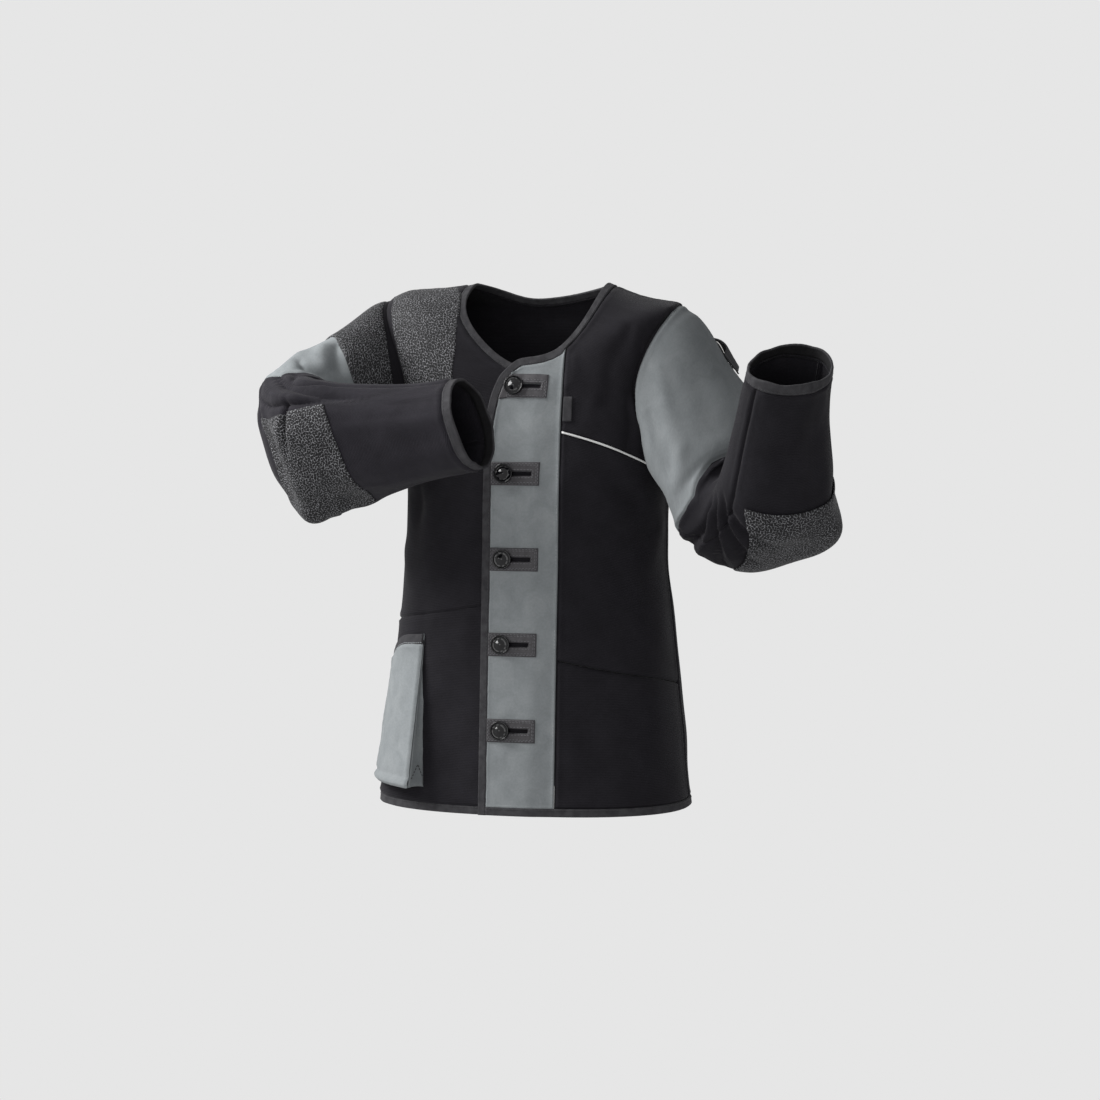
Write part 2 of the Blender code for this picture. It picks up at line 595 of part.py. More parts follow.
def back_layout():
    left, right = arc_points(1, 1), arc_points(-1, 1)
    right[:, 0] += 2 * math.pi
    last = BACK_COLUMNS + 2 * ARC
    at = np.zeros((TOP_ROW + 1, last + 1, 2))
    corners = (math.pi / 2, left[ARC, 0], right[ARC, 0], 3 * math.pi / 2)
    even = np.interp(np.arange(last + 1), (0, ARC, last - ARC, last), corners)
    for row, level in enumerate((0.0,) + SIDE_LEVELS):
        at[row] = np.stack([even, np.full(last + 1, level)], -1)
    share = np.linspace(0, 1, BACK_COLUMNS + 1)[:, None]
    for row in range(LOW_ROW, HIGH_ROW + 1):
        first, second = left[row - LOW_ROW + ARC], right[row - LOW_ROW + ARC]
        at[row, ARC : last - ARC + 1] = blend(first, second, share)
        at[row, :ARC], at[row, last - ARC + 1 :] = first, second
    for row, part in ((LOW_ROW, slice(ARC, None, -1)), (HIGH_ROW, slice(2 * ARC, None))):
        at[row, last - ARC :] = right[part]
        at[row, : ARC + 1] = left[part][::-1]
    at[TOP_ROW, :, 0] = np.linspace(math.pi / 2, 3 * math.pi / 2, last + 1)
    rim = [(LOW_ROW, k) for k in range(ARC)]
    rim += [(row, ARC) for row in range(LOW_ROW, HIGH_ROW + 1)]
    rim += [(HIGH_ROW, ARC - k) for k in range(1, ARC + 1)]
    rims = [rim, [(row, last - col) for row, col in rim]]
    spans = [j for j in range(last) if not ARC <= j < last - ARC]
    return bound_layout(at, full_neckline, spans, rims)


def bound_layout(at, neckline, spans, rims, edge_x=None):
    """Draws the hem and the neckline back by the width of their bindings, and fills
    the rows between the ones already placed."""
    free_angles = at[TOP_ROW, :, 0].copy()
    free_levels = neckline(free_angles)
    at[TOP_ROW, :, 1] = free_levels - level_step(free_angles, free_levels, BINDING_WIDTH)
    if edge_x is not None:
        at[TOP_ROW, 0, 0] = angle_at(edge_x, at[TOP_ROW, 0, 1])
    at[0, :, 1] = level_step(at[0, :, 0], 0.0, BINDING_WIDTH)
    at[LOW_ROW - 1] = (at[LOW_ROW - 2] + at[LOW_ROW]) / 2
    for k, share in enumerate(SHOULDER_SHARES, 1):
        at[HIGH_ROW + k] = blend(at[HIGH_ROW], at[TOP_ROW], share)
        if edge_x is not None:
            at[HIGH_ROW + k, 0, 0] = angle_at(edge_x, at[HIGH_ROW + k, 0, 1])
    missing = {(i, j) for i in range(LOW_ROW, HIGH_ROW) for j in spans}
    return Layout(at[..., 0], at[..., 1], free_angles, free_levels, missing, rims)


def right_neckline(angle):
    return 1 - NECK_DIP * np.cos(angle) ** 2


def left_neckline(angle):
    return 1 - LEFT_DIP * np.exp(-(((angle - LEFT_DIP_AT) / LEFT_DIP_SPREAD) ** 2))


def left_level(x):
    """Level of the left front's neckline at x."""
    return left_neckline(angle_at(x, left_neckline(angle_at(x, 0.97))))


def full_neckline(angle):
    return np.ones_like(angle)


def meet_sleeve(grid, rim, seam, away, picked):
    """Turns a panel's armhole edge to face the sleeve's, a seam gap away."""
    rows, cols = np.array(rim).T
    grid.points[rows, cols] += away[picked] * SEAM_GAP
    grid.normals[rows, cols] = seam[picked]


# ---- the closing edge, drawn on the front as x and z
def closing_height(x):
    """Height of the left front's top edge, over its rounded corner."""
    level = left_level(x)
    neck = torso(angle_at(np.maximum(x, 0), level), level)[..., 2]
    return neck - CORNER_DROP * (1 - closing_turn(x))


def closing_turn(x):
    """1 where the rounded corner begins, falling to 0 where the edge is upright."""
    share = np.clip((CORNER_START - x) / (CORNER_START - CLOSING_EDGE), 0, 1)
    return np.sqrt(1 - share ** (2 / CORNER_SHAPE)) ** CORNER_SHAPE


def closing_x(z):
    """Where the closing edge is at a height below its corner."""
    top = torso(0.0, 1.0)[2]
    turned = np.clip(1 - (top - z) / CORNER_DROP, 0, 1) ** (1 / CORNER_SHAPE)
    share = np.sqrt(1 - turned**2) ** CORNER_SHAPE
    return blend(CORNER_START, CLOSING_EDGE, share)


def placket_lift(x):
    return PLACKET_LIFT * ease((PLACKET_EDGE - x) / (PLACKET_EDGE - UNDERLAP_EDGE))


def placket_grid():
    """The strip down the closing edge, as x and z, with the finished edge round it.
    Its rows and columns fall on the edges of the patches and of their slots."""
    hem = TORSO[0].z_front
    heights = [hem + BINDING_WIDTH, (hem + BUTTONS[-1].height) / 2]
    middles = [BUTTONS[-1].middle] * 2
    for below, button in zip((None,) + BUTTONS[:0:-1], BUTTONS[::-1]):
        if below:
            gap = (button.height - below.height) / 3
            heights += [below.height + gap * 1.1, button.height - gap * 1.1]
            middles += [(below.middle + button.middle) / 2] * 2
        for half in (-PATCH_HALF_HEIGHT, -SLOT_HALF_HEIGHT, SLOT_HALF_HEIGHT, PATCH_HALF_HEIGHT):
            heights.append(button.height + half)
            middles.append(button.middle)
    heights, middles = np.array(heights), np.array(middles)
    slot = middles - SLOT_BEHIND
    patch_end = np.interp(heights, *np.array([(b.height, b.patch_end) for b in BUTTONS[::-1]]).T)
    lines = [slot, slot + SLOT_LENGTH / 3, slot + SLOT_LENGTH * 2 / 3, slot + SLOT_LENGTH]
    lines += [patch_end, (patch_end + PLACKET_EDGE) / 2, np.full(len(heights), PLACKET_EDGE)]

    corner = blend(CORNER_START, CLOSING_EDGE, math.sin(CORNER_TURN) ** CORNER_SHAPE)
    top_x = np.linspace(PLACKET_EDGE, corner, len(lines) + 1)
    edge_x = np.concatenate([top_x, closing_x(heights[::-1]), [CLOSING_EDGE]])
    edge_z = np.concatenate([closing_height(top_x), heights[::-1], [hem]])
    ahead = unit(np.stack([np.gradient(edge_x), np.gradient(edge_z)], -1))
    ahead[-2:] = (0, -1)
    inner_x = edge_x - ahead[:, 1] * BINDING_WIDTH
    inner_z = edge_z + ahead[:, 0] * BINDING_WIDTH
    top = left_level(PLACKET_EDGE)
    start = top - level_step(angle_at(PLACKET_EDGE, top), top, BINDING_WIDTH)
    inner_x[0], inner_z[0] = PLACKET_EDGE, torso(angle_at(PLACKET_EDGE, start), start)[2]

    count = len(lines) + 1
    x = np.empty((len(heights) + 1, count))
    z = np.empty_like(x)
    x[:-1, 1:] = np.array(lines).T
    z[:-1] = heights[:, None]
    x[:-1, 0], z[:-1, 0] = inner_x[count:-1][::-1], inner_z[count:-1][::-1]
    x[-1], z[-1] = inner_x[:count][::-1], inner_z[:count][::-1]
    return x, z, (edge_x, edge_z), (inner_x, inner_z)


def front_points(x, z):
    """Points of the placket's layer at x and z on the front."""
    angles, levels = on_front(x, z)
    return torso_grid(angles, levels, placket_lift(x))


# ---- bindings
BandStep = namedtuple("BandStep", "share outer inner")
BAND = (
    BandStep(0.00, 0.0000, -0.0020),
    BandStep(0.14, 0.0007, -0.0027),
    BandStep(0.86, 0.0007, -0.0027),
    BandStep(1.00, 0.0000, -0.0020),
)


def band(name, sewn, finished, paint, closed=False):
    """A folded binding between the line it is sewn to and the finished edge."""
    start = sewn.points + unit(finished.points - sewn.points) * SEAM_GAP / 2
    shares = column(BAND, "share")[:, None, None]
    at = blend(start[None], finished.points[None], shares)
    way = unit(blend(sewn.normals[None], finished.normals[None], shares))
    outer = at + way * column(BAND, "outer")[:, None, None]
    inner = at + way * column(BAND, "inner")[:, None, None]
    return wall(name, outer, inner, paint, closed)


def join(grids):
    """One line of points from several that follow on; shared ends are kept once."""
    points, normals = [grids[0].points], [grids[0].normals]
    for grid in grids[1:]:
        points.append(grid.points[1:])
        normals.append(grid.normals[1:])
    return Grid(np.concatenate(points), np.concatenate(normals))


def build_torso(paints, seams):
    """The back, the fronts, the placket, and the bindings round their edges."""
    black, grey, bound = paints["canvas_black"], paints["suede_grey"], paints["binding"]
    left = front_layout(1, PLACKET_EDGE, LEFT_COLUMNS, LEFT_EDGE_LEVELS, LEFT_ARC_LEVEL,
                        left_neckline)
    right = front_layout(-1, UNDERLAP_EDGE, RIGHT_COLUMNS, RIGHT_EDGE_LEVELS, RIGHT_ARC_LEVEL,
                         right_neckline)
    rear = back_layout()
    front_left, front_right, back = (torso_grid(g.angles, g.levels) for g in (left, right, rear))
    fore = np.arange(ARMHOLE_STEPS, -1, -1)
    aft = np.arange(ARMHOLE_STEPS, 2 * ARMHOLE_STEPS + 1) % (2 * ARMHOLE_STEPS)
    meet_sleeve(front_left, left.rims[0], *seams[1], fore)
    meet_sleeve(front_right, right.rims[0], *seams[-1], fore)
    meet_sleeve(back, rear.rims[0], *seams[1], aft)
    meet_sleeve(back, rear.rims[1], *seams[-1], aft)

    def piece(name, grid, layout, low, high):
        missing = {(i - low, j) for i, j in layout.missing if low <= i < high}
        panel(name, grid, black, (low, high), (0, grid.points.shape[1] - 1), missing=missing)

    piece("back", back, rear, 0, TOP_ROW)
    piece("front_right_upper", front_right, right, HIP_ROW_RIGHT, TOP_ROW)
    piece("front_right_lower", front_right, right, 0, HIP_ROW_RIGHT)
    piece("front_left_chest", front_left, left, CHEST_ROW, TOP_ROW)
    piece("front_left_middle", front_left, left, HIP_ROW_LEFT, CHEST_ROW)
    piece("front_left_lower", front_left, left, 0, HIP_ROW_LEFT)
    seam = front_left.points[CHEST_ROW] + front_left.normals[CHEST_ROW] * (PIPING_RADIUS + 0.0005)
    ends = [blend(seam[0], seam[1], 0.1), blend(seam[-1], seam[-2], 0.3)]
    tube("piping", np.concatenate([ends[:1], seam[1:-1], ends[1:]]), PIPING_RADIUS,
         paints["piping_white"])

    x, z, edge, inner = placket_grid()
    strip = front_points(x, z)
    rows, cols = len(x) - 1, x.shape[1] - 1
    slots = [(6 * k + 3, c) for k in range(len(BUTTONS)) for c in (1, 2, 3)]
    panel("placket", strip, grey, (0, rows), (0, cols), missing=slots)
    for k in range(len(BUTTONS)):
        first = 6 * k + 2
        cells = Grid(strip.points[first : first + 4, :6], strip.normals[first : first + 4, :6])
        build_patch(f"patch_{len(BUTTONS) - k}", cells, paints["patch_leather"])

    across = ((right, slice(None)), (rear, slice(None, None, -1)), (left, slice(None, None, -1)))
    sewn = [torso_grid(g.angles[-1, picked], g.levels[-1, picked]) for g, picked in across]
    free = [torso_grid(g.free_angles[picked], g.free_levels[picked]) for g, picked in across]
    sewn.append(front_points(*inner))
    free.append(front_points(*edge))
    band("binding_neck", join(sewn), join(free), bound)

    sewn = [torso_grid(g.angles[0, picked], g.levels[0, picked]) for g, picked in across]
    free = [torso_grid(g.angles[0, picked], 0 * g.levels[0, picked]) for g, picked in across]
    sewn.append(front_points(x[0][::-1], z[0][::-1]))
    free.append(front_points(x[0][::-1], np.full(cols + 1, TORSO[0].z_front)))
    sewn, free = join(sewn), join(free)
    for end in (sewn.points, free.points):
        end[-1] += unit(end[-2] - end[-1]) * SEAM_GAP
    band("binding_hem", sewn, free, bound)


def build_patch(name, cells, paint):
    """A patch with a buttonhole: three rows of cells, the middle one slotted."""
    rise = SEAM_GAP + LEATHER
    outer = cells.points + cells.normals * rise
    wall(name, outer, cells.points + cells.normals * SEAM_GAP, paint,
         missing=((1, 1), (1, 2), (1, 3)))


def build_button(name, button, paint):
    """A turned button whose shank passes through the slots to the front below."""
    angle, level = on_front(button.middle, button.height)
    at, way = torso(angle, level), torso_normal(angle, level)
    under = PLACKET_LIFT + SEAM_GAP + LEATHER + 0.0008
    profile = (
        (0.0, 0.0008), (SHANK_RADIUS, 0.0008), (SHANK_RADIUS, under), (0.0095, under),
        (BUTTON_RADIUS, under + 0.0014), (BUTTON_RADIUS, under + BUTTON_THICK - 0.0012),
        (0.0118, under + BUTTON_THICK), (0.0100, under + BUTTON_THICK - 0.0002),
        (0.0075, under + BUTTON_THICK - 0.0016), (0.0, under + BUTTON_THICK - 0.0010),
    )
    turned(name, at, way, profile, paint)


def turned(name, at, way, profile, paint, sides=20):
    """A solid of revolution about a direction; the profile runs from axis to axis."""
    across = unit(np.cross(way, np.array([0.0, 0.0, 1.0])))
    up = np.cross(across, way)
    turn = np.linspace(0, 2 * math.pi, sides, endpoint=False)
    mesh = bmesh.new()
    ends = [mesh.verts.new(at + way * profile[k][1]) for k in (0, -1)]
    rings = []
    for radius, rise in profile[1:-1]:
        middle = at + way * rise
        rings.append([mesh.verts.new(middle + radius * (math.cos(a) * across + math.sin(a) * up))
                      for a in turn])
    for j in range(sides):
        k = (j + 1) % sides
        mesh.faces.new((ends[0], rings[0][k], rings[0][j]))
        mesh.faces.new((ends[1], rings[-1][j], rings[-1][k]))
        for low, high in zip(rings, rings[1:]):
            mesh.faces.new((low[j], low[k], high[k], high[j]))
    bmesh.ops.recalc_face_normals(mesh, faces=mesh.faces)
    return finish_mesh(name, mesh, paint)


def build_sleeve(side, arm, rings, paints):
    """One sleeve: its grey upper, its forearm in two pieces, its cuff, its pads."""
    word = "right" if side < 0 else "left"
    grid, seam, away = sleeve_grid(arm, rings)
    count = grid.points.shape[1]
    black, pad = paints["canvas_black"], paints["grip_pad"]
    first, second = FORE_SEAMS[side]
    upper_start = CAP_END if side < 0 else 0
    fore = (GREY_END[side], CUFF_START)
    panel(f"sleeve_{word}_upper", grid, paints["suede_grey"], (upper_start, fore[0]), (0, count))
    panel(f"sleeve_{word}_fore_under", grid, black, fore, (first, second))
    panel(f"sleeve_{word}_fore_top", grid, black, fore, (second, first + count))
    sewn = Grid(grid.points[CUFF_START], grid.normals[CUFF_START])
    free = Grid(grid.points[CUFF_END], grid.normals[CUFF_END])
    band(f"cuff_{word}", sewn, free, paints["binding"], closed=True)
    edges = RIGHT_ELBOW_PAD_EDGES if side < 0 else LEFT_ELBOW_PAD_EDGES
    laid(f"elbow_pad_{word}", on_grid(grid, *between(edges, 12, 22)), pad, ELBOW_GAP, PAD)
    if side < 0:
        panel("sleeve_right_cap", grid, black, (0, CAP_END), (0, count))
        laid("sleeve_right_pad", on_grid(grid, *between(SLEEVE_PAD_EDGES, 6, 18)), pad, ELBOW_GAP, PAD)
    else:
        build_strap(grid, paints)
    return seam, away


def build_strap(grid, paints):
    """A short strap behind the left upper sleeve, bridging a metal ring's bar."""
    row, col = between(STRAP_EDGES, 4, 12)
    at = on_grid(grid, row, col)
    bridge = np.clip(2.4 * np.sin(np.linspace(0, math.pi, 13)) - 0.5, 0, 1)
    rise = LAID_GAP + STRAP_RISE * bridge
    laid("strap_left", Grid(at.points + at.normals * rise[:, None], at.normals),
         paints["webbing_black"], 0.0, CLOTH)
    wide, tall = RING_SIZE
    turn = np.linspace(0, 2 * math.pi, 20, endpoint=False)
    across = np.sign(np.cos(turn)) * np.abs(np.cos(turn)) ** 0.5 * tall / 2 / STRAP_SIZE[0]
    along = np.sign(np.sin(turn)) * np.abs(np.sin(turn)) ** 0.5 * wide / 2 / STRAP_SIZE[1]
    first, last = np.array(STRAP_EDGES)
    sideways, endways = last[0] - first[0], first[-1] - first[0]
    place = first[0] + np.outer(0.5 + across, sideways) + np.outer(0.5 + RING_SHIFT + along, endways)
    ring = on_grid(grid, place[:, 0], place[:, 1])
    lifted = ring.points + ring.normals * (LAID_GAP + RING_BAR)
    tube("ring_left", lifted, RING_BAR, paints["ring_metal"], loop=True)


def pocket_shape(share, rise):
    """Angle, level and lift of the pocket's front; both shares run 0 to 1, back from
    its front edge and up from its bottom."""
    angle = blend(blend(*POCKET_FRONT, rise), POCKET_BACK, share)
    high = smooth(share, *np.array(POCKET_TOP).T)
    depth = POCKET_FLAT + POCKET_SWELL * (1 - share) ** 2.5 * (1 - rise) ** 1.3
    return angle, blend(POCKET_LOW, high, rise), depth


def build_pocket(paints):
    """The side pocket: its front, the gusset round three sides, and its top band."""
    grey, dark = paints["suede_grey"], paints["binding"]
    rises = np.linspace(0, 1 - POCKET_BAND / POCKET_HEIGHT, POCKET_CELLS + 1)
    share, rise = np.meshgrid(np.linspace(0, 1, POCKET_CELLS + 1), rises)
    angle, level, depth = pocket_shape(share, rise)
    face = torso_grid(angle, level, depth)
    panel("pocket_front", face, grey, (0, POCKET_CELLS), (0, POCKET_CELLS))
    top = np.linspace(0, 1, POCKET_CELLS + 1)
    lines = []
    for up in (1 - POCKET_BAND / POCKET_HEIGHT, 1.0):
        angle, level, depth = pocket_shape(top, np.full_like(top, up))
        lines.append(torso_grid(angle, level, depth))
    band("pocket_band", lines[0], lines[1], dark)

    down, across = np.append(rises, 1)[::-1], np.linspace(0, 1, POCKET_CELLS + 1)
    share = np.concatenate([0 * down, across[1:], 1 + 0 * down[1:]])
    rise = np.concatenate([down, 0 * across[1:], down[::-1][1:]])
    angle, level, depth = pocket_shape(share, rise)
    inset = 0.010
    foot = torso_grid(angle, level, LAID_GAP)
    head = torso_grid(angle, level, depth - BINDING_THICK - SEAM_GAP)
    into_angle, into_level, _ = pocket_shape(blend(inset, 1 - inset, share), blend(inset, 1, rise))
    inward = unit(torso(into_angle, into_level) - torso(angle, level))
    outer = np.stack([blend(foot.points, head.points, s) for s in (0, 0.5, 1)], axis=1)
    outer[:, 0] += inward * 0.0002
    wall("pocket_gusset", outer, outer + inward[:, None] * CLOTH, grey)


def build_shoulder_pad(paints):
    level, angle = between(SHOULDER_PAD_EDGES, 5, 18)
    grid = torso_grid(np.radians(angle), level)
    laid("shoulder_pad", grid, paints["grip_pad"], SHOULDER_GAP, PAD)


def build_tab(paints):
    """The bare tab sewn in beside the placket."""
    width, tall = TAB_SIZE
    x, z = np.meshgrid(TAB_PLACE[0] + width * np.linspace(-0.5, 0.5, 3),
                       TAB_PLACE[1] + tall * np.linspace(-0.5, 0.5, 4))
    laid("label_tab", torso_grid(*on_front(x, z)), paints["binding"], LAID_GAP, 0.001)


def main():
    clear_scene()
    paints = {paint.name: mix_paint(paint) for paint in PAINTS}
    seams = {-1: build_sleeve(-1, RIGHT_ARM, RIGHT_RINGS, paints),
             1: build_sleeve(1, LEFT_ARM, LEFT_RINGS, paints)}
    build_torso(paints, seams)
    for number, button in enumerate(BUTTONS, 1):
        build_button(f"button_{number}", button, paints["button_black"])
    build_pocket(paints)
    build_shoulder_pad(paints)
    build_tab(paints)


main()
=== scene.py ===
import math

import bmesh
import bpy
import numpy as np
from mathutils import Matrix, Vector


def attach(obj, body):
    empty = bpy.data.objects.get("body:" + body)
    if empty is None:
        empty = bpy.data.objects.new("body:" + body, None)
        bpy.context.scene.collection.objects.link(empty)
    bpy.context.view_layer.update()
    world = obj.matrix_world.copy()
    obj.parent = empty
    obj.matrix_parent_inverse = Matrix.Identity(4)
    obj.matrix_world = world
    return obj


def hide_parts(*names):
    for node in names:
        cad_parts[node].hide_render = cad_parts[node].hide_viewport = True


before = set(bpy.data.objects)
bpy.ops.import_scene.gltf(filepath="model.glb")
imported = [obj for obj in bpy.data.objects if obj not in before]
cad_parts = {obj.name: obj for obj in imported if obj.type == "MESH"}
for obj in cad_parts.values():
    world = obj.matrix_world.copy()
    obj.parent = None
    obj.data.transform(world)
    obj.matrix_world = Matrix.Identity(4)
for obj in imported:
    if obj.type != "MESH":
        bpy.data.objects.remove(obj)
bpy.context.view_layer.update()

print("stage: frame loaded,", len(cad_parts), "nodes")


def unit(v):
    # each vector divided by its length
    return v / np.maximum(np.linalg.norm(v, axis=-1, keepdims=True), 1e-12)


def ease(x):
    x = np.clip(x, 0, 1)  # 3x^2 - 2x^3
    return x * x * (3 - 2 * x)


def rising(x, start, span):
    # 0 up to start, 1 from start + span on
    return ease((x - start) / span)


def mix(first, last, share):
    # first at share 0, last at share 1
    return first + (last - first) * share


def hill(x, width):
    return np.exp(-(x / width) ** 2)  # a soft bump: e to the minus (x over width) squared


def curveThrough(x, xs, ys):
    # Hermite curve through a short table: cubic in each span, slopes from the neighbours
    xs, ys = np.asarray(xs, float), np.asarray(ys, float)
    slopes = np.gradient(ys, xs)
    i = np.clip(np.searchsorted(xs, x, side="right") - 1, 0, len(xs) - 2)
    step = xs[i + 1] - xs[i]
    u = (x - xs[i]) / step
    return ((2 * u**3 - 3 * u**2 + 1) * ys[i] + (u**3 - 2 * u**2 + u) * step * slopes[i]
            + (3 * u**2 - 2 * u**3) * ys[i + 1] + (u**3 - u**2) * step * slopes[i + 1])


def cubic(a, b, c, d, t):
    # Catmull-Rom between b and c: the cubic with slopes (c - a) / 2 and (d - b) / 2
    return b + 0.5 * t * (c - a + t * (2 * a - 5 * b + 4 * c - d + t * (3 * (b - c) + d - a)))


def withEnds(values):
    # one more row before and behind, straight on from the last two
    return np.concatenate([2 * values[:1] - values[1:2], values, 2 * values[-1:] - values[-2:-1]])


def closer(values, near, last):
    # more places beside both ends, 0 and last
    return np.unique(np.concatenate([values, near, last - np.array(near)]))


def splineAlong(values, at, closed=False):
    # the cubic through a line's points, read at point number at
    count = len(values)
    i = np.floor(at).astype(int) if closed else np.clip(np.floor(at).astype(int), 0, count - 2)
    t = (at - i).reshape((-1,) + (1,) * (values.ndim - 1))
    if closed:
        return cubic(*(values[(i + k) % count] for k in (-1, 0, 1, 2)), t)
    padded = withEnds(values)
    return cubic(*(padded[i + k] for k in range(4)), t)


def softNoise(p, size, seed):
    # sum of four sine waves in odd directions: about -1 to 1, the same every run
    rng = np.random.default_rng(seed)
    total = 0
    for k in range(4):
        way = unit(rng.normal(size=3))
        total = total + np.sin(p @ way * (2 * math.pi / size) * (0.8 + 0.5 * k) + rng.uniform(0, 6.28)) / 4
    return total


# the body's surface: angle 0 is the middle of the front, level 0 the hem, 1 the neckline
bodyShape = {
    "level": (0.00, 0.18, 0.34, 0.48, 0.60, 0.68, 0.79, 0.90, 1.00),
    "halfWidth": (0.216, 0.203, 0.190, 0.181, 0.180, 0.185, 0.192, 0.194, 0.092),
    "front": (0.142, 0.138, 0.134, 0.130, 0.130, 0.130, 0.124, 0.108, 0.088),
    "back": (0.128, 0.125, 0.120, 0.115, 0.116, 0.118, 0.112, 0.092, 0.066),
    "zFront": (-0.712, -0.590, -0.475, -0.375, -0.298, -0.250, -0.192, -0.136, -0.084),
    "zSide": (-0.712, -0.590, -0.475, -0.375, -0.294, -0.243, -0.140, -0.042, 0.000),
    "zBack": (-0.712, -0.590, -0.475, -0.370, -0.285, -0.230, -0.150, -0.063, -0.017),
    "forward": (0.022, 0.018, 0.014, 0.010, 0.006, 0.002, 0.000, 0.000, 0.000),
    "sideways": (-0.005, -0.0045, -0.004, -0.0045, -0.0035, -0.001, 0.000, 0.000, 0.000),
    "roundness": 2.35,
    "raisedShoulder": 0.0145, "widerShoulder": 0.022, "raisedFrom": (0.68, 0.2), "raisedTo": (0.93, 0.07),
    "leftCorner": (0.0105, 0.0035), "cornerLevel": (0.89, 0.035),  # how far up and out; level and spread
    "shoulderDip": 0.0035, "dipLevel": (0.955, 0.028),
    "backDip": (212.0, 26.0, 0.0060, 0.06),  # degrees, spread, how deep, and how many levels down
}
cut = {
    "cloth": 0.0020, "tape": 0.0105, "tapeThick": 0.0034, "leather": 0.0014, "seamGap": 0.0003,
    "closingEdge": -0.0475, "underlapEdge": 0.032, "placketEdge": 0.055, "placketLift": 0.0052,
    "cornerStart": 0.038, "cornerDrop": 0.150, "cornerShape": 0.8, "cornerTurn": 34.0, "neckDip": 0.055,
    "leftDip": (0.041, 21.0, 26.0),
    "armholeSteps": 12, "armholeFront": {-1: 24.5, 1: 31.0}, "armholeBack": 31.0,
    "armholeLow": 0.685, "armholeTop": 0.905, "shoulderShares": (0.36, 0.70),
    "sideLevels": (0.08, 0.16, 0.245, 0.352, 0.44, 0.52, 0.58, 0.635),
    "leftEdgeLevels": (0.10, 0.20, 0.300, 0.41, 0.51, 0.60, 0.69, 0.761),
    "rightEdgeLevels": (0.09, 0.18, 0.280, 0.419, 0.49, 0.57, 0.65, 0.720),
    "leftArcLevel": 0.850, "rightArcLevel": 0.800,
    "hipRow": {-1: 4, 1: 3}, "chestRow": 8,
    "columns": {-1: 8, 1: 6}, "backColumns": 10, "sideOverlap": 0.0028,
}
around = 2 * cut["armholeSteps"]  # columns in a whole turn of a sleeve


def bodySize(level, name):
    # one of the body's measures at this level
    return curveThrough(level, bodyShape["level"], bodyShape[name])


def bodyPoint(angle, level):
    # a squarish ellipse at each level: reach = (|sin/width|^n + |cos/depth|^n)^(-1/n)
    angle, level = np.broadcast_arrays(np.asarray(angle, float), np.asarray(level, float))
    n = bodyShape["roundness"]
    s, c = np.sin(angle), np.cos(angle)
    deep = np.where(c > 0, bodySize(level, "front"), bodySize(level, "back"))
    reach = (np.abs(s / bodySize(level, "halfWidth")) ** n + np.abs(c / deep) ** n) ** (-1 / n)
    side = bodySize(level, "zSide")
    z = side + np.where(c > 0, bodySize(level, "zFront") - side, bodySize(level, "zBack") - side) * c * c
    raised = rising(level, *bodyShape["raisedFrom"]) * (1 - rising(level, *bodyShape["raisedTo"]))
    raised = raised * np.maximum(-s, 0) ** 2
    cornerAt, cornerSpread = bodyShape["cornerLevel"]
    corner = hill(level - cornerAt, cornerSpread) * np.maximum(s, 0) ** 3
    dipAt, dipSpread = bodyShape["dipLevel"]
    middle, spread, low, levels = bodyShape["backDip"]
    z = z + bodyShape["leftCorner"][0] * corner
    z = z - bodyShape["shoulderDip"] * hill(level - dipAt, dipSpread) * s * s
    z = z - low * hill(level - 1, levels) * hill(np.degrees(angle) % 360 - middle, spread)
    z = z + bodyShape["raisedShoulder"] * raised
    x = reach * s + bodySize(level, "sideways") - bodyShape["widerShoulder"] * raised
    x = x + bodyShape["leftCorner"][1] * corner
    return np.stack([x, -reach * c - bodySize(level, "forward"), z], -1)


def bodyNormal(angle, level):
    d = 1e-4  # cross product of the two slopes
    level = np.clip(level, d, 1 - d)
    return unit(np.cross(bodyPoint(angle + d, level) - bodyPoint(angle - d, level),
                         bodyPoint(angle, level + d) - bodyPoint(angle, level - d)))


def angleAt(x, level):
    # the front's angle at x: the squarish ellipse solved for its depth
    wide, n = bodySize(level, "halfWidth"), bodyShape["roundness"]
    x = x - bodySize(level, "sideways")
    return np.arctan2(x, bodySize(level, "front") * (1 - np.abs(x / wide) ** n) ** (1 / n))


def onFront(x, z):
    # angle and level of the front at x and z, by halving the span 40 times
    x, z = np.broadcast_arrays(np.asarray(x, float), np.asarray(z, float))
    low, high = np.zeros(x.shape), np.ones(x.shape)
    for _ in range(40):
        middle = (low + high) / 2
        below = bodyPoint(angleAt(x, middle), middle)[..., 2] < z
        low, high = np.where(below, middle, low), np.where(below, high, middle)
    return angleAt(x, low), low


def levelStep(angle, level, width):
    # width divided by how fast the surface climbs
    d = 1e-4
    level = np.clip(level, d, 1 - d)
    climb = np.linalg.norm(bodyPoint(angle, level + d) - bodyPoint(angle, level - d), axis=-1) / (2 * d)
    return width / climb


def armholeArc(side, behind, finer=1):
    # half an armhole, an ellipse in angle and level, from its lowest point to its top
    turn = np.linspace(0, math.pi, cut["armholeSteps"] * finer + 1)
    level = mix(cut["armholeLow"], cut["armholeTop"], (1 - np.cos(turn)) / 2)
    most = math.radians(cut["armholeBack"] if behind else cut["armholeFront"][side])
    return np.stack([side * (math.pi / 2 + (most if behind else -most) * np.sin(turn)), level], -1)


def armhole(side):
    # all round: from the top down the front and up behind
    front, back = armholeArc(side, False)[::-1], armholeArc(side, True)[1:-1]
    whole = np.concatenate([front, back])
    return whole[:, 0], whole[:, 1]


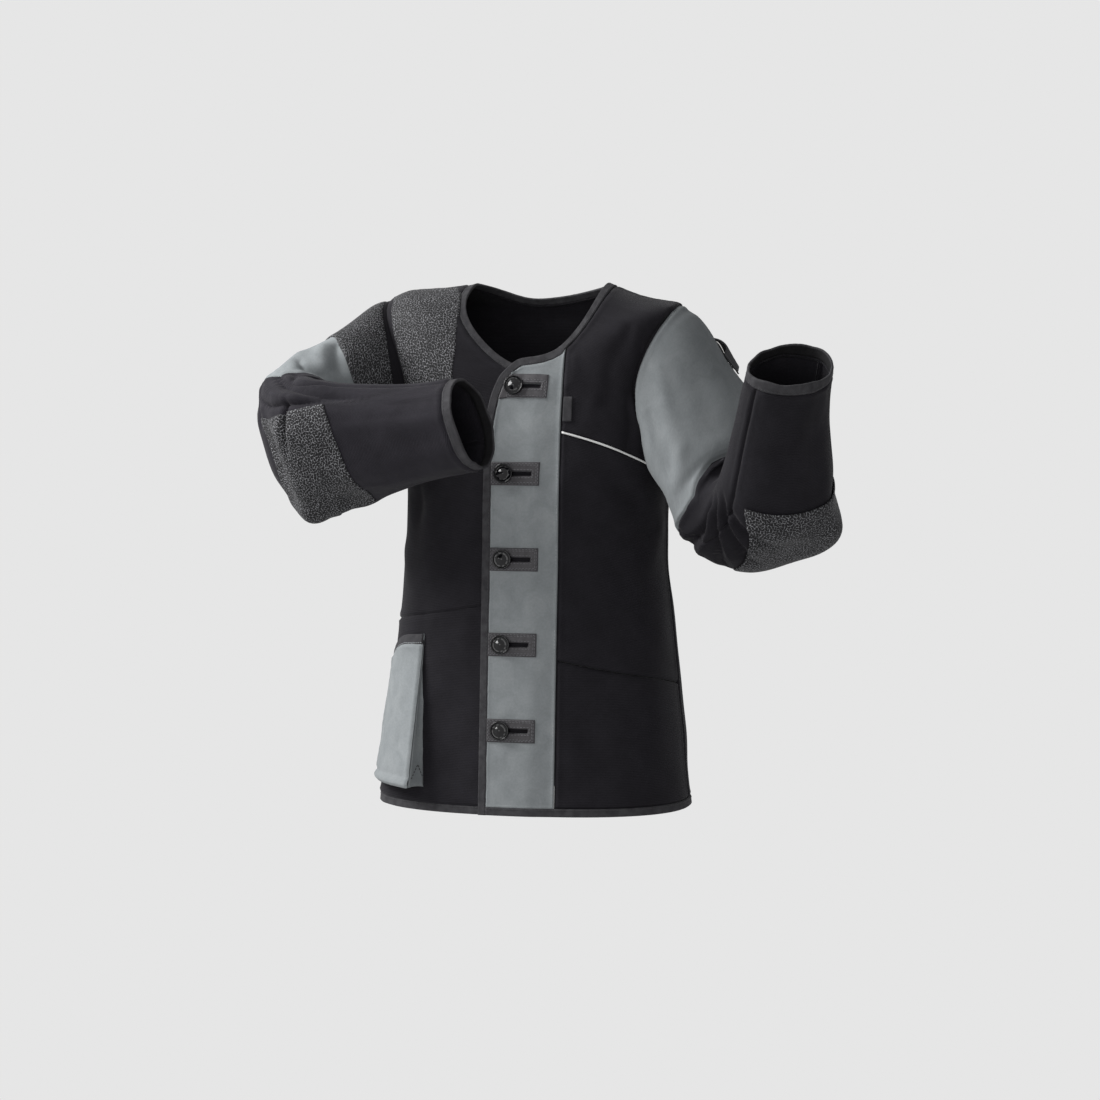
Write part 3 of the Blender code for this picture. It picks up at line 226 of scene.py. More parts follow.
# the sleeves: one entry for each ring; stations run along the arm, crook side and elbow side
arms = {
    -1: {
        "shoulder": (-0.200, 0.000, -0.116), "elbow": (-0.298, -0.180, -0.228),
        "wrist": (-0.010, -0.280, -0.184),
        "crook": (0.090, 0.095, 0.098, 0.122, 0.140, 0.148, 0.154, 0.160, 0.300, 0.308, 0.322, 0.345, 0.395,
                  0.450, 0.510, 0.524),
        "outer": (0.075, 0.105, 0.130, 0.175, 0.212, 0.232, 0.252, 0.270, 0.290, 0.312, 0.338, 0.368, 0.410,
                  0.460, 0.518, 0.532),
        "crookDepth": (0.058, 0.057, 0.056, 0.052, 0.050, 0.044, 0.050, 0.044, 0.052, 0.050, 0.050, 0.049,
                       0.048, 0.047, 0.046, 0.046),
        "outerDepth": (0.068, 0.071, 0.072, 0.073, 0.072, 0.071, 0.071, 0.072, 0.073, 0.074, 0.069, 0.062,
                       0.055, 0.050, 0.047, 0.047),
        "halfWidth": (0.104, 0.103, 0.100, 0.101, 0.102, 0.101, 0.101, 0.101, 0.101, 0.098, 0.092, 0.083,
                      0.073, 0.065, 0.061, 0.061),
        "capEnd": 2, "greyEnd": 5,
    },
    1: {
        "shoulder": (0.186, 0.000, -0.135), "elbow": (0.322, -0.110, -0.330),
        "wrist": (0.386, -0.250, -0.102),
        "crook": (0.090, 0.095, 0.098, 0.130, 0.150, 0.162, 0.169, 0.176, 0.335, 0.343, 0.356, 0.378, 0.412,
                  0.450, 0.505, 0.519),
        "outer": (0.075, 0.105, 0.125, 0.168, 0.205, 0.232, 0.254, 0.274, 0.298, 0.322, 0.352, 0.386, 0.424,
                  0.462, 0.515, 0.529),
        "crookDepth": (0.064, 0.064, 0.064, 0.058, 0.054, 0.048, 0.054, 0.046, 0.054, 0.050, 0.050, 0.049,
                       0.048, 0.047, 0.046, 0.045),
        "outerDepth": (0.069, 0.070, 0.070, 0.071, 0.073, 0.076, 0.079, 0.082, 0.086, 0.087, 0.082, 0.073,
                       0.061, 0.052, 0.047, 0.046),
        "halfWidth": (0.096, 0.096, 0.094, 0.092, 0.092, 0.091, 0.089, 0.087, 0.086, 0.083, 0.078, 0.072,
                      0.066, 0.061, 0.057, 0.057),
        "capEnd": 0, "greyEnd": 6,
    },
}
sleeveRules = {"elbowRounding": 0.060, "room": 0.010, "roomGrows": (0.7, 0.3), "clearUpTo": 0.85,
               "evenShare": 0.35, "blend": (0.32, 0.68), "cuffStart": 15,
               "shiftEnd": 12, "step": 0.0036, "colSteps": 6, "seams": {-1: (9, 25), 1: (9, 21)},
               "farRim": {-1: 0.0, 1: 0.0075}}


def armLines(arm):
    # two straight lines and the directions square to each that point to the elbow
    shoulder, elbow, wrist = (np.array(arm[k], float) for k in ("shoulder", "elbow", "wrist"))
    upper, fore = unit(elbow - shoulder), unit(wrist - elbow)
    outward = unit(upper - fore)
    return {"shoulder": shoulder, "elbow": elbow, "upper": upper, "fore": fore,
            "outUpper": unit(outward - upper * (outward @ upper)),
            "outFore": unit(outward - fore * (outward @ fore)), "across": unit(np.cross(upper, fore))}


def armPoint(lines, station, depth):
    # the two lines joined by a parabola: (1-u)^2 a + 2u(1-u) elbow + u^2 b
    turn = sleeveRules["elbowRounding"]
    length = np.linalg.norm(lines["elbow"] - lines["shoulder"])
    u = np.clip((station - length + turn) / (2 * turn), 0, 1)
    before, after = lines["elbow"] - lines["upper"] * turn, lines["elbow"] + lines["fore"] * turn
    middle = (1 - u) ** 2 * before + 2 * u * (1 - u) * lines["elbow"] + u**2 * after
    middle = middle + lines["upper"] * min(station - length + turn, 0)
    middle = middle + lines["fore"] * max(station - length - turn, 0)
    return middle + unit(mix(lines["outUpper"], lines["outFore"], ease(u))) * depth


def clearOfBody(points):
    # rings that would sink into the body move straight out from its axis
    x, y, z = np.moveaxis(points[1:], -1, 0)
    low, high = np.zeros(x.shape), np.full(x.shape, sleeveRules["clearUpTo"] + 0.01)
    for _ in range(30):
        level = (low + high) / 2
        middleX, forward = bodySize(level, "sideways"), bodySize(level, "forward")
        surface = bodyPoint(np.arctan2(x - middleX, -(y + forward)), level)
        below = surface[..., 2] < z
        low, high = np.where(below, level, low), np.where(below, high, level)
    centre = np.stack([middleX, -forward, z], -1)
    inside = np.linalg.norm((surface - centre)[..., :2], axis=-1)
    reach = points[1:] - centre
    far = np.linalg.norm(reach[..., :2], axis=-1)
    first, each = sleeveRules["roomGrows"]
    room = sleeveRules["room"] * np.minimum(first + each * np.arange(len(points) - 1), 1)[:, None]
    want = np.where(level < sleeveRules["clearUpTo"], inside + room, 0)
    points[1:] = centre + reach * np.maximum(want / far, 1)[..., None]
    return points


def sleeveRings(side):
    # each ring is an ellipse between a crook and an elbow point; the first ones blend from the armhole
    arm = arms[side]
    lines = armLines(arm)
    start = bodyPoint(*armhole(side))
    count = len(start)
    reach = start - start.mean(axis=0)
    seen = np.unwrap(np.arctan2(reach @ lines["across"], reach @ lines["outUpper"]))
    way = np.sign(seen[count // 4] - seen[0])
    even = seen[0] + way * np.arange(count) * 2 * math.pi / count
    bearing = mix(even, seen, sleeveRules["evenShare"])[:, None]
    rows = [start]
    for k in range(len(arm["crook"])):
        crook = armPoint(lines, arm["crook"][k], -arm["crookDepth"][k])
        outer = armPoint(lines, arm["outer"][k], arm["outerDepth"][k])
        ring = ((crook + outer) / 2 + np.cos(bearing) * (outer - crook) / 2
                + np.sin(bearing) * lines["across"] * arm["halfWidth"][k])
        rows.append(mix(start, ring, sleeveRules["blend"][k]) if k < 2 else ring)
    return clearOfBody(np.array(rows))


# a line's depth fades at its ends by ease(share * fade + start); its width grows from one factor by another
foldRules = {"body": {"fade": (3, 0.5), "widen": (0.75, 0.5), "wander": (0.18, 1.3, 7)},
             "sleeve": {"fade": (3.2, 0.25), "widen": (0.8, 0.4), "steps": 28, "rows": 1.2, "cols": 1.8}}


def fadeEnds(share, times, start):
    return ease(share * times + start) * ease((1 - share) * times + start)


def foldField(u, v, folds, scale):
    # sum of depth * hill(distance to the line / width), fading out at the line's two ends
    total, rules = np.zeros(u.shape), foldRules["body"]
    (thin, growth), (far, often, turn) = rules["widen"], rules["wander"]
    for u0, v0, u1, v1, width, depth in folds:
        a, d = np.array([u0, v0]) * scale, (np.array([u1, v1]) - (u0, v0)) * scale
        length = np.linalg.norm(d)
        d = d / length
        x, y = u * scale[0] - a[0], v * scale[1] - a[1]
        along, off = x * d[0] + y * d[1], x * d[1] - y * d[0]
        share = along / length
        off = off + far * width * np.sin(along / width * often + u0 * turn)  # a slight wander
        fade = fadeEnds(share, *rules["fade"])
        total = total + depth * fade * hill(off, width * (thin + growth * ease(share)))
    return total


bodyFolds = {  # angle in degrees, level, angle, level, width and depth in metres
    "scale": (0.0033, 0.64),
    "lines": (
        (77, 0.895, 62, 0.858, 0.0060, -0.0050), (62, 0.858, 57, 0.790, 0.0065, -0.0050),
        (57, 0.790, 57, 0.700, 0.0080, -0.0034),
        (82, 0.872, 67, 0.838, 0.0055, 0.0034), (67, 0.838, 62, 0.765, 0.0060, 0.0030),
        (60, 0.905, 50, 0.855, 0.010, -0.0024),
        (50, 0.855, 46, 0.780, 0.012, -0.0020), (34, 0.915, 30, 0.850, 0.012, 0.0018),
        (-58, 0.66, -62, 0.55, 0.012, -0.0026),
        (12, 0.10, 22, 0.62, 0.026, 0.0030), (40, 0.02, 48, 0.45, 0.034, -0.0042),
        (64, 0.05, 70, 0.40, 0.030, 0.0040),
        (28, 0.60, 62, 0.46, 0.020, -0.0022), (50, 0.66, 76, 0.52, 0.018, -0.0030),
        (44, 0.72, 66, 0.62, 0.016, 0.0022),
        (84, 0.55, 60, 0.44, 0.018, 0.0024), (20, 0.86, 38, 0.80, 0.020, -0.0018),
        (30, 0.70, 20, 0.50, 0.030, 0.0020),
        (-26, 0.30, -22, 0.62, 0.024, 0.0022), (-50, 0.34, -66, 0.62, 0.022, -0.0026),
        (-40, 0.66, -66, 0.58, 0.018, -0.0026),
        (-30, 0.04, -34, 0.24, 0.026, -0.0024), (-78, 0.50, -52, 0.42, 0.016, 0.0022),
        (-34, 0.78, -52, 0.70, 0.018, 0.0020),
        (120, 0.02, 112, 0.48, 0.034, -0.0045), (150, 0.04, 155, 0.55, 0.036, 0.0040),
        (182, 0.02, 178, 0.50, 0.034, -0.0038),
        (212, 0.05, 205, 0.52, 0.036, 0.0042), (242, 0.02, 250, 0.46, 0.032, -0.0045),
        (98, 0.10, 96, 0.44, 0.024, 0.0028),
        (104, 0.64, 140, 0.50, 0.022, -0.0036), (110, 0.56, 148, 0.44, 0.020, 0.0030),
        (256, 0.64, 220, 0.50, 0.022, -0.0036),
        (250, 0.56, 214, 0.45, 0.020, 0.0030), (112, 0.72, 150, 0.68, 0.020, -0.0024),
        (248, 0.74, 208, 0.70, 0.020, -0.0026),
        (165, 0.90, 195, 0.91, 0.016, -0.0018), (150, 0.80, 212, 0.79, 0.026, 0.0022),
    ),
}
# each a line of (column, row) places, then its width and its depth; columns run from the top down the front
sleeveFolds = {
    -1: (
        (((0.8, 5.5), (0.2, 8.5), (-0.6, 11.2), (-0.9, 13.0)), 0.0065, -0.0080),
        (((-0.5, 5.4), (-0.9, 8.0), (-1.1, 10.6)), 0.0050, 0.0046),
        (((-1.5, 5.3), (-1.7, 7.2), (-1.5, 9.4), (-1.2, 12.0)), 0.0036, -0.0064),
        (((2.2, 6.4), (1.0, 8.6), (0.2, 11.0)), 0.0060, -0.0050),
        (((-1.0, 5.3), (-2.4, 5.55), (-3.9, 5.9)), 0.0040, -0.0120),
        (((-1.0, 8.9), (-2.6, 8.75), (-4.4, 8.4)), 0.0042, -0.0130),
        (((-2.0, 6.2), (-3.6, 6.6)), 0.0080, 0.0026),
        (((2.4, 2.7), (3.6, 3.5), (5.0, 4.5)), 0.0085, -0.0050),
        (((1.6, 2.9), (2.8, 4.0), (4.2, 5.0)), 0.0100, 0.0040),
        (((1.4, 4.4), (3.0, 5.5), (5.0, 5.9)), 0.0065, -0.0046),
        (((0.2, 3.4), (1.2, 4.6), (2.6, 5.6)), 0.0120, 0.0030),
        (((-2.5, 2.9), (-3.4, 4.9)), 0.012, -0.0034), (((-5.5, 2.9), (-8.5, 4.8)), 0.014, -0.0044),
        (((-8.5, 2.4), (-11.0, 4.6)), 0.014, 0.0036),
        (((9.0, 2.6), (12.0, 4.6)), 0.013, -0.0040), (((6.5, 2.4), (9.5, 4.4)), 0.012, 0.0030),
        (((5.5, 6.2), (8.0, 6.3), (11.0, 6.2)), 0.0070, -0.0050),
        (((5.6, 7.2), (8.2, 7.3), (11.2, 7.3)), 0.0065, 0.0036),
        (((5.8, 8.2), (8.2, 8.6), (11.4, 8.6)), 0.0075, -0.0050),
        (((4.6, 9.8), (7.5, 10.2), (10.0, 9.8)), 0.0080, -0.0032),
        (((-4.5, 10.6), (-4.0, 13.4)), 0.013, -0.0016), (((-2.4, 10.8), (-2.0, 14.0)), 0.012, 0.0014),
        (((-7.0, 12.2), (-6.4, 14.4)), 0.014, 0.0016),
        (((6.0, 11.2), (8.5, 13.2)), 0.014, 0.0022), (((10.0, 11.0), (12.0, 13.6)), 0.014, -0.0024),
    ),
    1: (
        (((6.3, 9.4), (7.8, 8.3), (9.4, 6.6), (10.6, 5.9)), 0.0062, -0.0100),
        (((6.9, 9.4), (8.3, 8.4), (10.2, 6.6)), 0.0050, 0.0060),
        (((7.0, 10.2), (8.4, 9.0), (10.2, 7.5), (11.4, 6.9)), 0.0058, -0.0105),
        (((7.6, 10.2), (9.0, 8.9), (11.0, 7.6)), 0.0048, 0.0062),
        (((7.8, 10.9), (9.0, 9.6), (10.8, 8.3), (12.0, 7.9)), 0.0056, -0.0095),
        (((8.4, 10.6), (9.6, 9.4), (11.4, 8.5)), 0.0046, 0.0050),
        (((8.6, 10.6), (9.9, 9.9), (12.4, 8.8)), 0.0050, -0.0070),
        (((5.6, 8.0), (7.0, 6.9), (8.6, 6.0)), 0.0085, 0.0040),
        (((5.0, 7.0), (3.0, 6.6), (0.5, 6.9)), 0.0080, -0.0046),
        (((4.6, 8.4), (2.4, 8.2), (0.0, 8.3)), 0.0080, -0.0040),
        (((4.0, 9.6), (1.5, 9.4), (-1.0, 9.0)), 0.0080, 0.0030),
        (((9.0, 9.3), (8.9, 11.6)), 0.0060, -0.0026),
        (((3.6, 0.6), (4.6, 2.4), (5.6, 4.6)), 0.0110, 0.0024),
        (((5.2, 1.2), (6.2, 3.0), (6.9, 4.8)), 0.0100, -0.0030),
        (((2.0, 1.6), (3.2, 4.4)), 0.018, -0.0018), (((4.4, 3.6), (6.0, 4.8), (7.2, 5.4)), 0.0120, 0.0026),
        (((-1.5, 1.6), (-1.0, 4.6)), 0.018, 0.0020), (((-5.0, 1.8), (-5.8, 4.8)), 0.016, -0.0036),
        (((-8.5, 1.6), (-10.0, 4.6)), 0.016, 0.0036),
        (((10.0, 1.4), (9.6, 4.6)), 0.013, -0.0034), (((11.2, 2.4), (12.6, 5.2)), 0.013, 0.0032),
        (((2.0, 11.0), (3.0, 13.8)), 0.016, -0.0020), (((-4.0, 11.4), (-3.4, 14.0)), 0.016, -0.0022),
        (((-7.0, 10.8), (-8.0, 13.8)), 0.016, 0.0022),
        (((12.4, 11.6), (12.8, 14.2)), 0.014, 0.0016), (((15.5, 11.4), (15.2, 14.4)), 0.014, -0.0016),
    ),
}


def colsApart(col, other):
    # from one column to another, the short way round
    return (col - other + around // 2) % around - around // 2


def lineField(side, point, row, col, folds):
    # sum of depth * hill(distance to the line / width), fading out at the line's two ends
    total, rules = np.zeros(len(point)), foldRules["sleeve"]
    share = np.linspace(0, 1, rules["steps"])
    thin, growth = rules["widen"]
    for knots, width, depth in folds:
        knots = np.array(knots)
        steps = np.linspace(0, 1, len(knots))
        c, r = (np.interp(share, steps, knots[:, k]) for k in (0, 1))
        near = (row > r.min() - rules["rows"]) & (row < r.max() + rules["rows"])
        near &= np.abs(colsApart(col, c.mean())) < np.ptp(c) / 2 + rules["cols"]
        if not near.any():
            continue
        line = sleeveBase(side, r, c)[0]
        far = np.linalg.norm(point[near][:, None] - line[None], axis=-1)
        at = share[far.argmin(axis=1)]
        fade = fadeEnds(at, *rules["fade"])
        total[near] += depth * fade * hill(far.min(axis=1), width * (thin + growth * at))
    return total


# where the cloth stands out or sinks over a wider area: column, row, spread in both, and how far
sleeveLumps = {
    -1: (
        (-0.2, 2.3, 3.6, 0.9, -0.0055), (16.6, 7.3, 1.5, 0.9, 0.0105), (20.4, 6.5, 2.2, 1.2, -0.0090),
        (19.0, 6.9, 1.4, 0.7, -0.0080),
        (17.0, 9.9, 2.6, 1.7, -0.0190), (16.9, 11.0, 2.2, 1.2, -0.0080),
        (19.4, 6.6, 1.4, 0.9, -0.0110), (14.2, 10.8, 1.8, 1.5, -0.0110), (21.2, 5.7, 1.2, 0.6, -0.0030),
        (-0.6, 0.9, 2.0, 0.6, 0.0030), (15.4, 12.8, 2.6, 1.2, -0.0045), (22.6, 5.2, 1.2, 0.5, 0.0040),
        (12.7, 9.1, 2.0, 1.2, -0.0115), (13.9, 7.8, 1.6, 0.9, -0.0060),
    ),
    1: (
        (-1.0, 0.8, 3.2, 0.8, 0.0085), (17.4, 8.9, 1.7, 1.0, 0.0160), (12.9, 8.6, 2.4, 1.2, -0.0165),
        (14.8, 8.3, 1.8, 0.9, -0.0050), (18.9, 10.3, 1.6, 1.0, -0.0060), (9.4, 6.3, 1.2, 1.0, 0.0050),
        (-5.0, 12.2, 2.6, 1.6, 0.0030), (7.8, 2.2, 2.6, 1.6, 0.0030),
    ),
}
seamShift = {  # how many rows further on the grey cloth ends, column by column
    -1: ((-3, 0.0), (-1, 0.1), (0, 0.5), (1, 1.0), (2.7, 1.35), (4, 1.2), (5.5, 0.9), (7, 0.4), (9, 0.0)),
    1: ((3.5, 0.0), (5, 0.6), (6, 1.0), (7.2, 0.7), (8.9, 0.0), (9.7, -0.2), (11, 0.0)),
}


def lumpField(col, row, lumps):
    # sum of far * hill(columns off / spread) * hill(rows off / spread)
    total = np.zeros(col.shape)
    for col0, row0, wide, tall, far in lumps:
        total = total + far * hill(colsApart(col, col0), wide) * hill(row - row0, tall)
    return total


# how deep and how broad the cloth's unevenness is
unevenness = {"body": (0.0009, 0.17), "sleeve": (0.0008, 0.13), "mouth": (0.0016, 0.055)}


bodyCalm = {"hem": (0.012, 0.10), "neck": (0.90, 0.08), "neckShare": 0.8, "front": (14, 12),
            "frontShare": 0.35}


def bodyRelief(angle, level):
    # the folds, a broad unevenness, and nothing at the hem, where the tape holds the cloth flat
    degrees = np.degrees(angle)
    calm = rising(level, *bodyCalm["hem"]) * (1 - bodyCalm["neckShare"] * rising(level, *bodyCalm["neck"]))
    deep, broad = unevenness["body"]
    wide = deep * softNoise(bodyPoint(angle, level), broad, 3)
    # the layered closing stays stiff
    flatFront = rising(np.abs(((degrees + 180) % 360) - 180), *bodyCalm["front"])
    folds = foldField(degrees, level, bodyFolds["lines"], bodyFolds["scale"])
    return (folds + wide) * calm * mix(bodyCalm["frontShare"], 1, flatFront)


def onBody(angle, level, lift=0.0):
    # point and outward direction of the cloth, lifted by this much
    normal = bodyNormal(angle, level)
    return bodyPoint(angle, level) + normal * (bodyRelief(angle, level) + lift)[..., None], normal


sleeveGrids = {side: sleeveRings(side) for side in (-1, 1)}


def sleeveBase(side, r, c):
    # cubic through the rings both ways; col may pass a whole turn
    rings = sleeveGrids[side]
    count = rings.shape[1]
    padded = withEnds(rings)
    i = np.clip(np.floor(r).astype(int), 0, len(rings) - 2)
    j = np.floor(c).astype(int)
    u, v = (r - i)[:, None], (c - j)[:, None]

    def slope(a, b, c, d, t):
        return 0.5 * (c - a + 2 * t * (2 * a - 5 * b + 4 * c - d) + 3 * t * t * (3 * (b - c) + d - a))

    lines = [[padded[i + a, (j + b) % count] for b in (-1, 0, 1, 2)] for a in range(4)]
    across = [cubic(*line, v) for line in lines]
    along = cubic(*[slope(*line, v) for line in lines], u)
    normal = unit(np.cross(along, slope(*across, u))) * (1 if side > 0 else -1)
    return cubic(*across, u), normal


# the rows where each effect sets in, and over how many
sleeveCalm = {"cap": (0.15, 0.8), "cuff": (14.2, 0.7), "cuffShare": 0.6, "lumps": (0, 0.5),
              "mouth": (13.2, 2.0),
              "farRim": (12.5, 3.5)}


def onSleeve(side, row, col, lift=0.0):
    # the cloth's place: rings, folds, broad unevenness; row and col are matching grids
    r, c = row.reshape(-1), col.reshape(-1)
    point, normal = sleeveBase(side, r, c)
    s, (deep, broad) = sleeveCalm, unevenness["sleeve"]
    relief = lineField(side, point, r, c, sleeveFolds[side]) + deep * softNoise(point, broad, 5 + side)
    relief = relief * rising(r, *s["cap"]) * (1 - s["cuffShare"] * rising(r, *s["cuff"]))
    relief = relief + lumpField(c, r, sleeveLumps[side]) * rising(r, *s["lumps"])
    deep, broad = unevenness["mouth"]  # the mouth isn't quite round
    relief = relief + deep * softNoise(point, broad, 8 + side) * rising(r, *s["mouth"])
    point = point + normal * (relief + np.broadcast_to(lift, row.shape).reshape(-1))[:, None]
    depth = sleeveGrids[side][-1, :, 1]
    back = np.clip((point[:, 1] - depth.mean()) / np.ptp(depth) * 2, -1, 1)
    point[:, 2] += sleeveRules["farRim"][side] * np.maximum(back, 0) * rising(r, *s["farRim"])
    return point.reshape(row.shape + (3,)), normal.reshape(row.shape + (3,))


# panel layouts: angle and level of each row and column, with a notch for the armhole
fine = 8  # steps in each row and column of the layout tables
arc = cut["armholeSteps"] // 3
lowRow = len(cut["sideLevels"]) + 2
highRow = lowRow + cut["armholeSteps"] - 2 * arc
topRow = highRow + len(cut["shoulderShares"]) + 1


def finer(values, last):
    # the table's values, with fine steps between whole numbers
    return np.interp(np.linspace(0, last, last * fine + 1), np.arange(last + 1), values)


def closeLayout(at, neckline, edgeX=None):
    # hem and neckline drawn back by the tape, rows between filled in
    low, high, top = lowRow * fine, highRow * fine, topRow * fine
    freeAngle = at[top, :, 0].copy()
    freeLevel = neckline(freeAngle)
    at[top, :, 1] = freeLevel - levelStep(freeAngle, freeLevel, cut["tape"])
    if edgeX is not None:
        at[top, 0, 0] = angleAt(edgeX, at[top, 0, 1])
    hem = levelStep(at[0, :, 0], 0.0, cut["tape"])
    at[0, :, 1] = hem
    at[1:fine, :, 1] = mix(hem, at[fine, :, 1], np.linspace(0, 1, fine + 1)[1:-1, None])
    share = np.linspace(0, 1, 2 * fine + 1)[1:-1, None, None]
    at[low - 2 * fine + 1:low] = mix(at[low - 2 * fine], at[low], share)
    shares = np.interp(np.arange(1, top - high) / fine, np.arange(4), (0, *cut["shoulderShares"], 1))
    at[high + 1:top] = mix(at[high], at[top], shares[:, None, None])
    if edgeX is not None:
        at[high + 1:top, 0, 0] = angleAt(edgeX, at[high + 1:top, 0, 1])
    return at, np.stack([freeAngle, freeLevel], -1)


def frontLayout(side, edgeX, columns, edgeLevels, arcLevel, neckline):
    # columns run from the closing edge to the side seam, and beside the notch to the armhole
    bow, seam = armholeArc(side, False, fine), side * math.pi / 2
    cols, count, a = columns * fine, (columns + arc) * fine, arc * fine
    low, high, top = lowRow * fine, highRow * fine, topRow * fine
    at = np.zeros((top + 1, count + 1, 2))
    rows = len(cut["sideLevels"])
    atEdge, atSide = finer((0, *edgeLevels), rows)[:, None], finer((0, *cut["sideLevels"]), rows)[:, None]
    first = angleAt(edgeX, atEdge)
    steps = np.arange(count + 1)
    angle = np.where(steps <= cols, mix(first, bow[a, 0], np.minimum(steps / cols, 1)),
                     mix(bow[a, 0], seam, np.clip((steps - cols) / (count - cols), 0, 1)))
    at[:rows * fine + 1] = np.stack([angle, mix(atEdge, atSide, (angle - first) / (seam - first))], -1)
    above = np.linspace(arcLevel, (1 + arcLevel) / 2, high - low + 1)
    start = np.stack([angleAt(edgeX, above), above], -1)
    at[low:high + 1, :cols + 1] = mix(start[:, None], bow[a:a + high - low + 1, None],
                                      np.linspace(0, 1, cols + 1)[None, :, None])
    at[low:high + 1, cols + 1:] = bow[a:a + high - low + 1, None]
    at[low, cols:] = bow[a::-1]
    at[high, cols:] = bow[2 * a:]
    free = neckline(angleAt(edgeX, 0.97))
    at[top, :, 0] = np.linspace(angleAt(edgeX, free), seam, count + 1)
    return closeLayout(at, neckline, edgeX)


def backLayout():
    # columns run from the left side seam round to the right one, with a notch at each end
    left, right = armholeArc(1, True, fine), armholeArc(-1, True, fine)
    right[:, 0] += 2 * math.pi
    a, last = arc * fine, (cut["backColumns"] + 2 * arc) * fine
    low, high, top = lowRow * fine, highRow * fine, topRow * fine
    at = np.zeros((top + 1, last + 1, 2))
    corners = (math.pi / 2, left[a, 0], right[a, 0], 3 * math.pi / 2)
    at[:low, :, 0] = np.interp(np.arange(last + 1), (0, a, last - a, last), corners)
    rows = len(cut["sideLevels"])
    at[:rows * fine + 1, :, 1] = finer((0, *cut["sideLevels"]), rows)[:, None]
    first, second = left[a:a + high - low + 1, None], right[a:a + high - low + 1, None]
    at[low:high + 1, a:last - a + 1] = mix(first, second,
                                           np.linspace(0, 1, last - 2 * a + 1)[None, :, None])
    at[low:high + 1, :a], at[low:high + 1, last - a + 1:] = first, second
    at[low, last - a:], at[low, :a + 1] = right[a::-1], left[a::-1][::-1]
    at[high, last - a:], at[high, :a + 1] = right[2 * a:], left[2 * a:][::-1]
    at[top, :, 0] = np.linspace(math.pi / 2, 3 * math.pi / 2, last + 1)
    return closeLayout(at, lambda angle: np.ones_like(angle))


def leftNeckline(angle):
    # lower beside the middle: 1 - dip * hill(degrees - middle, spread)
    dip, middle, spread = cut["leftDip"]
    return 1 - dip * hill(np.degrees(angle) - middle, spread)


layouts = {
    "left": frontLayout(1, cut["placketEdge"], cut["columns"][1], cut["leftEdgeLevels"],
                        cut["leftArcLevel"], leftNeckline),
    "right": frontLayout(-1, cut["underlapEdge"], cut["columns"][-1], cut["rightEdgeLevels"],
                         cut["rightArcLevel"],
                         lambda angle: 1 - cut["neckDip"] * np.cos(angle) ** 2),
    "back": backLayout(),
}


def readGrid(values, rows, cols):
    # straight reading between neighbours; rows and cols are one-dimensional
    i = np.clip(np.floor(rows).astype(int), 0, len(values) - 2)
    j = np.clip(np.floor(cols).astype(int), 0, values.shape[1] - 2)
    u, v = (rows - i)[:, None, None], (cols - j)[None, :, None]
    i, j = i[:, None], j[None, :]
    return mix(mix(values[i, j], values[i, j + 1], v), mix(values[i + 1, j], values[i + 1, j + 1], v), u)


def stations(first, last, step, lines=(), near=(0.022, 0.055, 0.10)):
    # even steps between whole numbers, and closer ones beside the named lines
    edge = 0.0035  # half a seam's gap
    knots = sorted({first, last, *[k for k in range(math.ceil(first), math.floor(last) + 1)], *lines})
    found = [np.linspace(a, b, max(1, round((b - a) / step)) + 1) for a, b in zip(knots, knots[1:])]
    close = [line + way * off for line in (first, last, *lines) for way in (-1, 1) for off in near]
    found = np.unique(np.round(np.concatenate(found + [np.array(close)]), 5))
    found = found[(found >= first) & (found <= last)]
    gaps = np.diff(found)
    keep = np.concatenate([[True], gaps > 0.012])
    keep[-1] = True
    found = found[keep]
    found[0], found[-1] = first + edge, last - edge
    return found


def gridQuads(shape, keep=None, closed=False, loop=False):
    # closed joins the last column to the first, loop the last row to the first
    index = np.arange(shape[0] * shape[1]).reshape(shape)
    index = np.concatenate([index, index[:, :1]], axis=1) if closed else index
    index = np.concatenate([index, index[:1]], axis=0) if loop else index
    quads = np.stack([index[:-1, :-1], index[:-1, 1:], index[1:, 1:], index[1:, :-1]], -1)
    return quads.reshape(-1, 4) if keep is None else quads[keep]


def cellsIn(r, c, rows, cols):
    # true for the cells whose middles lie between these rows and these columns
    midRow, midCol = (r[:-1] + r[1:]) / 2, (c[:-1] + c[1:]) / 2
    return (((midRow > rows[0]) & (midRow < rows[1]))[:, None]
            & ((midCol > cols[0]) & (midCol < cols[1]))[None, :])


def makeMesh(name, points, quads, paint, uv=None):
    # keeps only the points in use; uv holds lengths in metres
    used, flat = np.unique(quads, return_inverse=True)
    quads = flat.reshape(quads.shape)
    mesh = bpy.data.meshes.new(name)
    mesh.from_pydata(points.reshape(-1, 3)[used].tolist(), [], quads.tolist())
    mesh.polygons.foreach_set("use_smooth", np.ones(len(quads), bool))
    if uv is not None:
        layer = mesh.uv_layers.new(name="cut")
        corners = uv.reshape(-1, 2)[used][quads.reshape(-1)]
        layer.data.foreach_set("uv", corners.reshape(-1).astype(np.float32))
    mesh.materials.append(paint)
    mesh.update()
    piece = bpy.data.objects.new(name, mesh)
    bpy.context.scene.collection.objects.link(piece)
    return piece


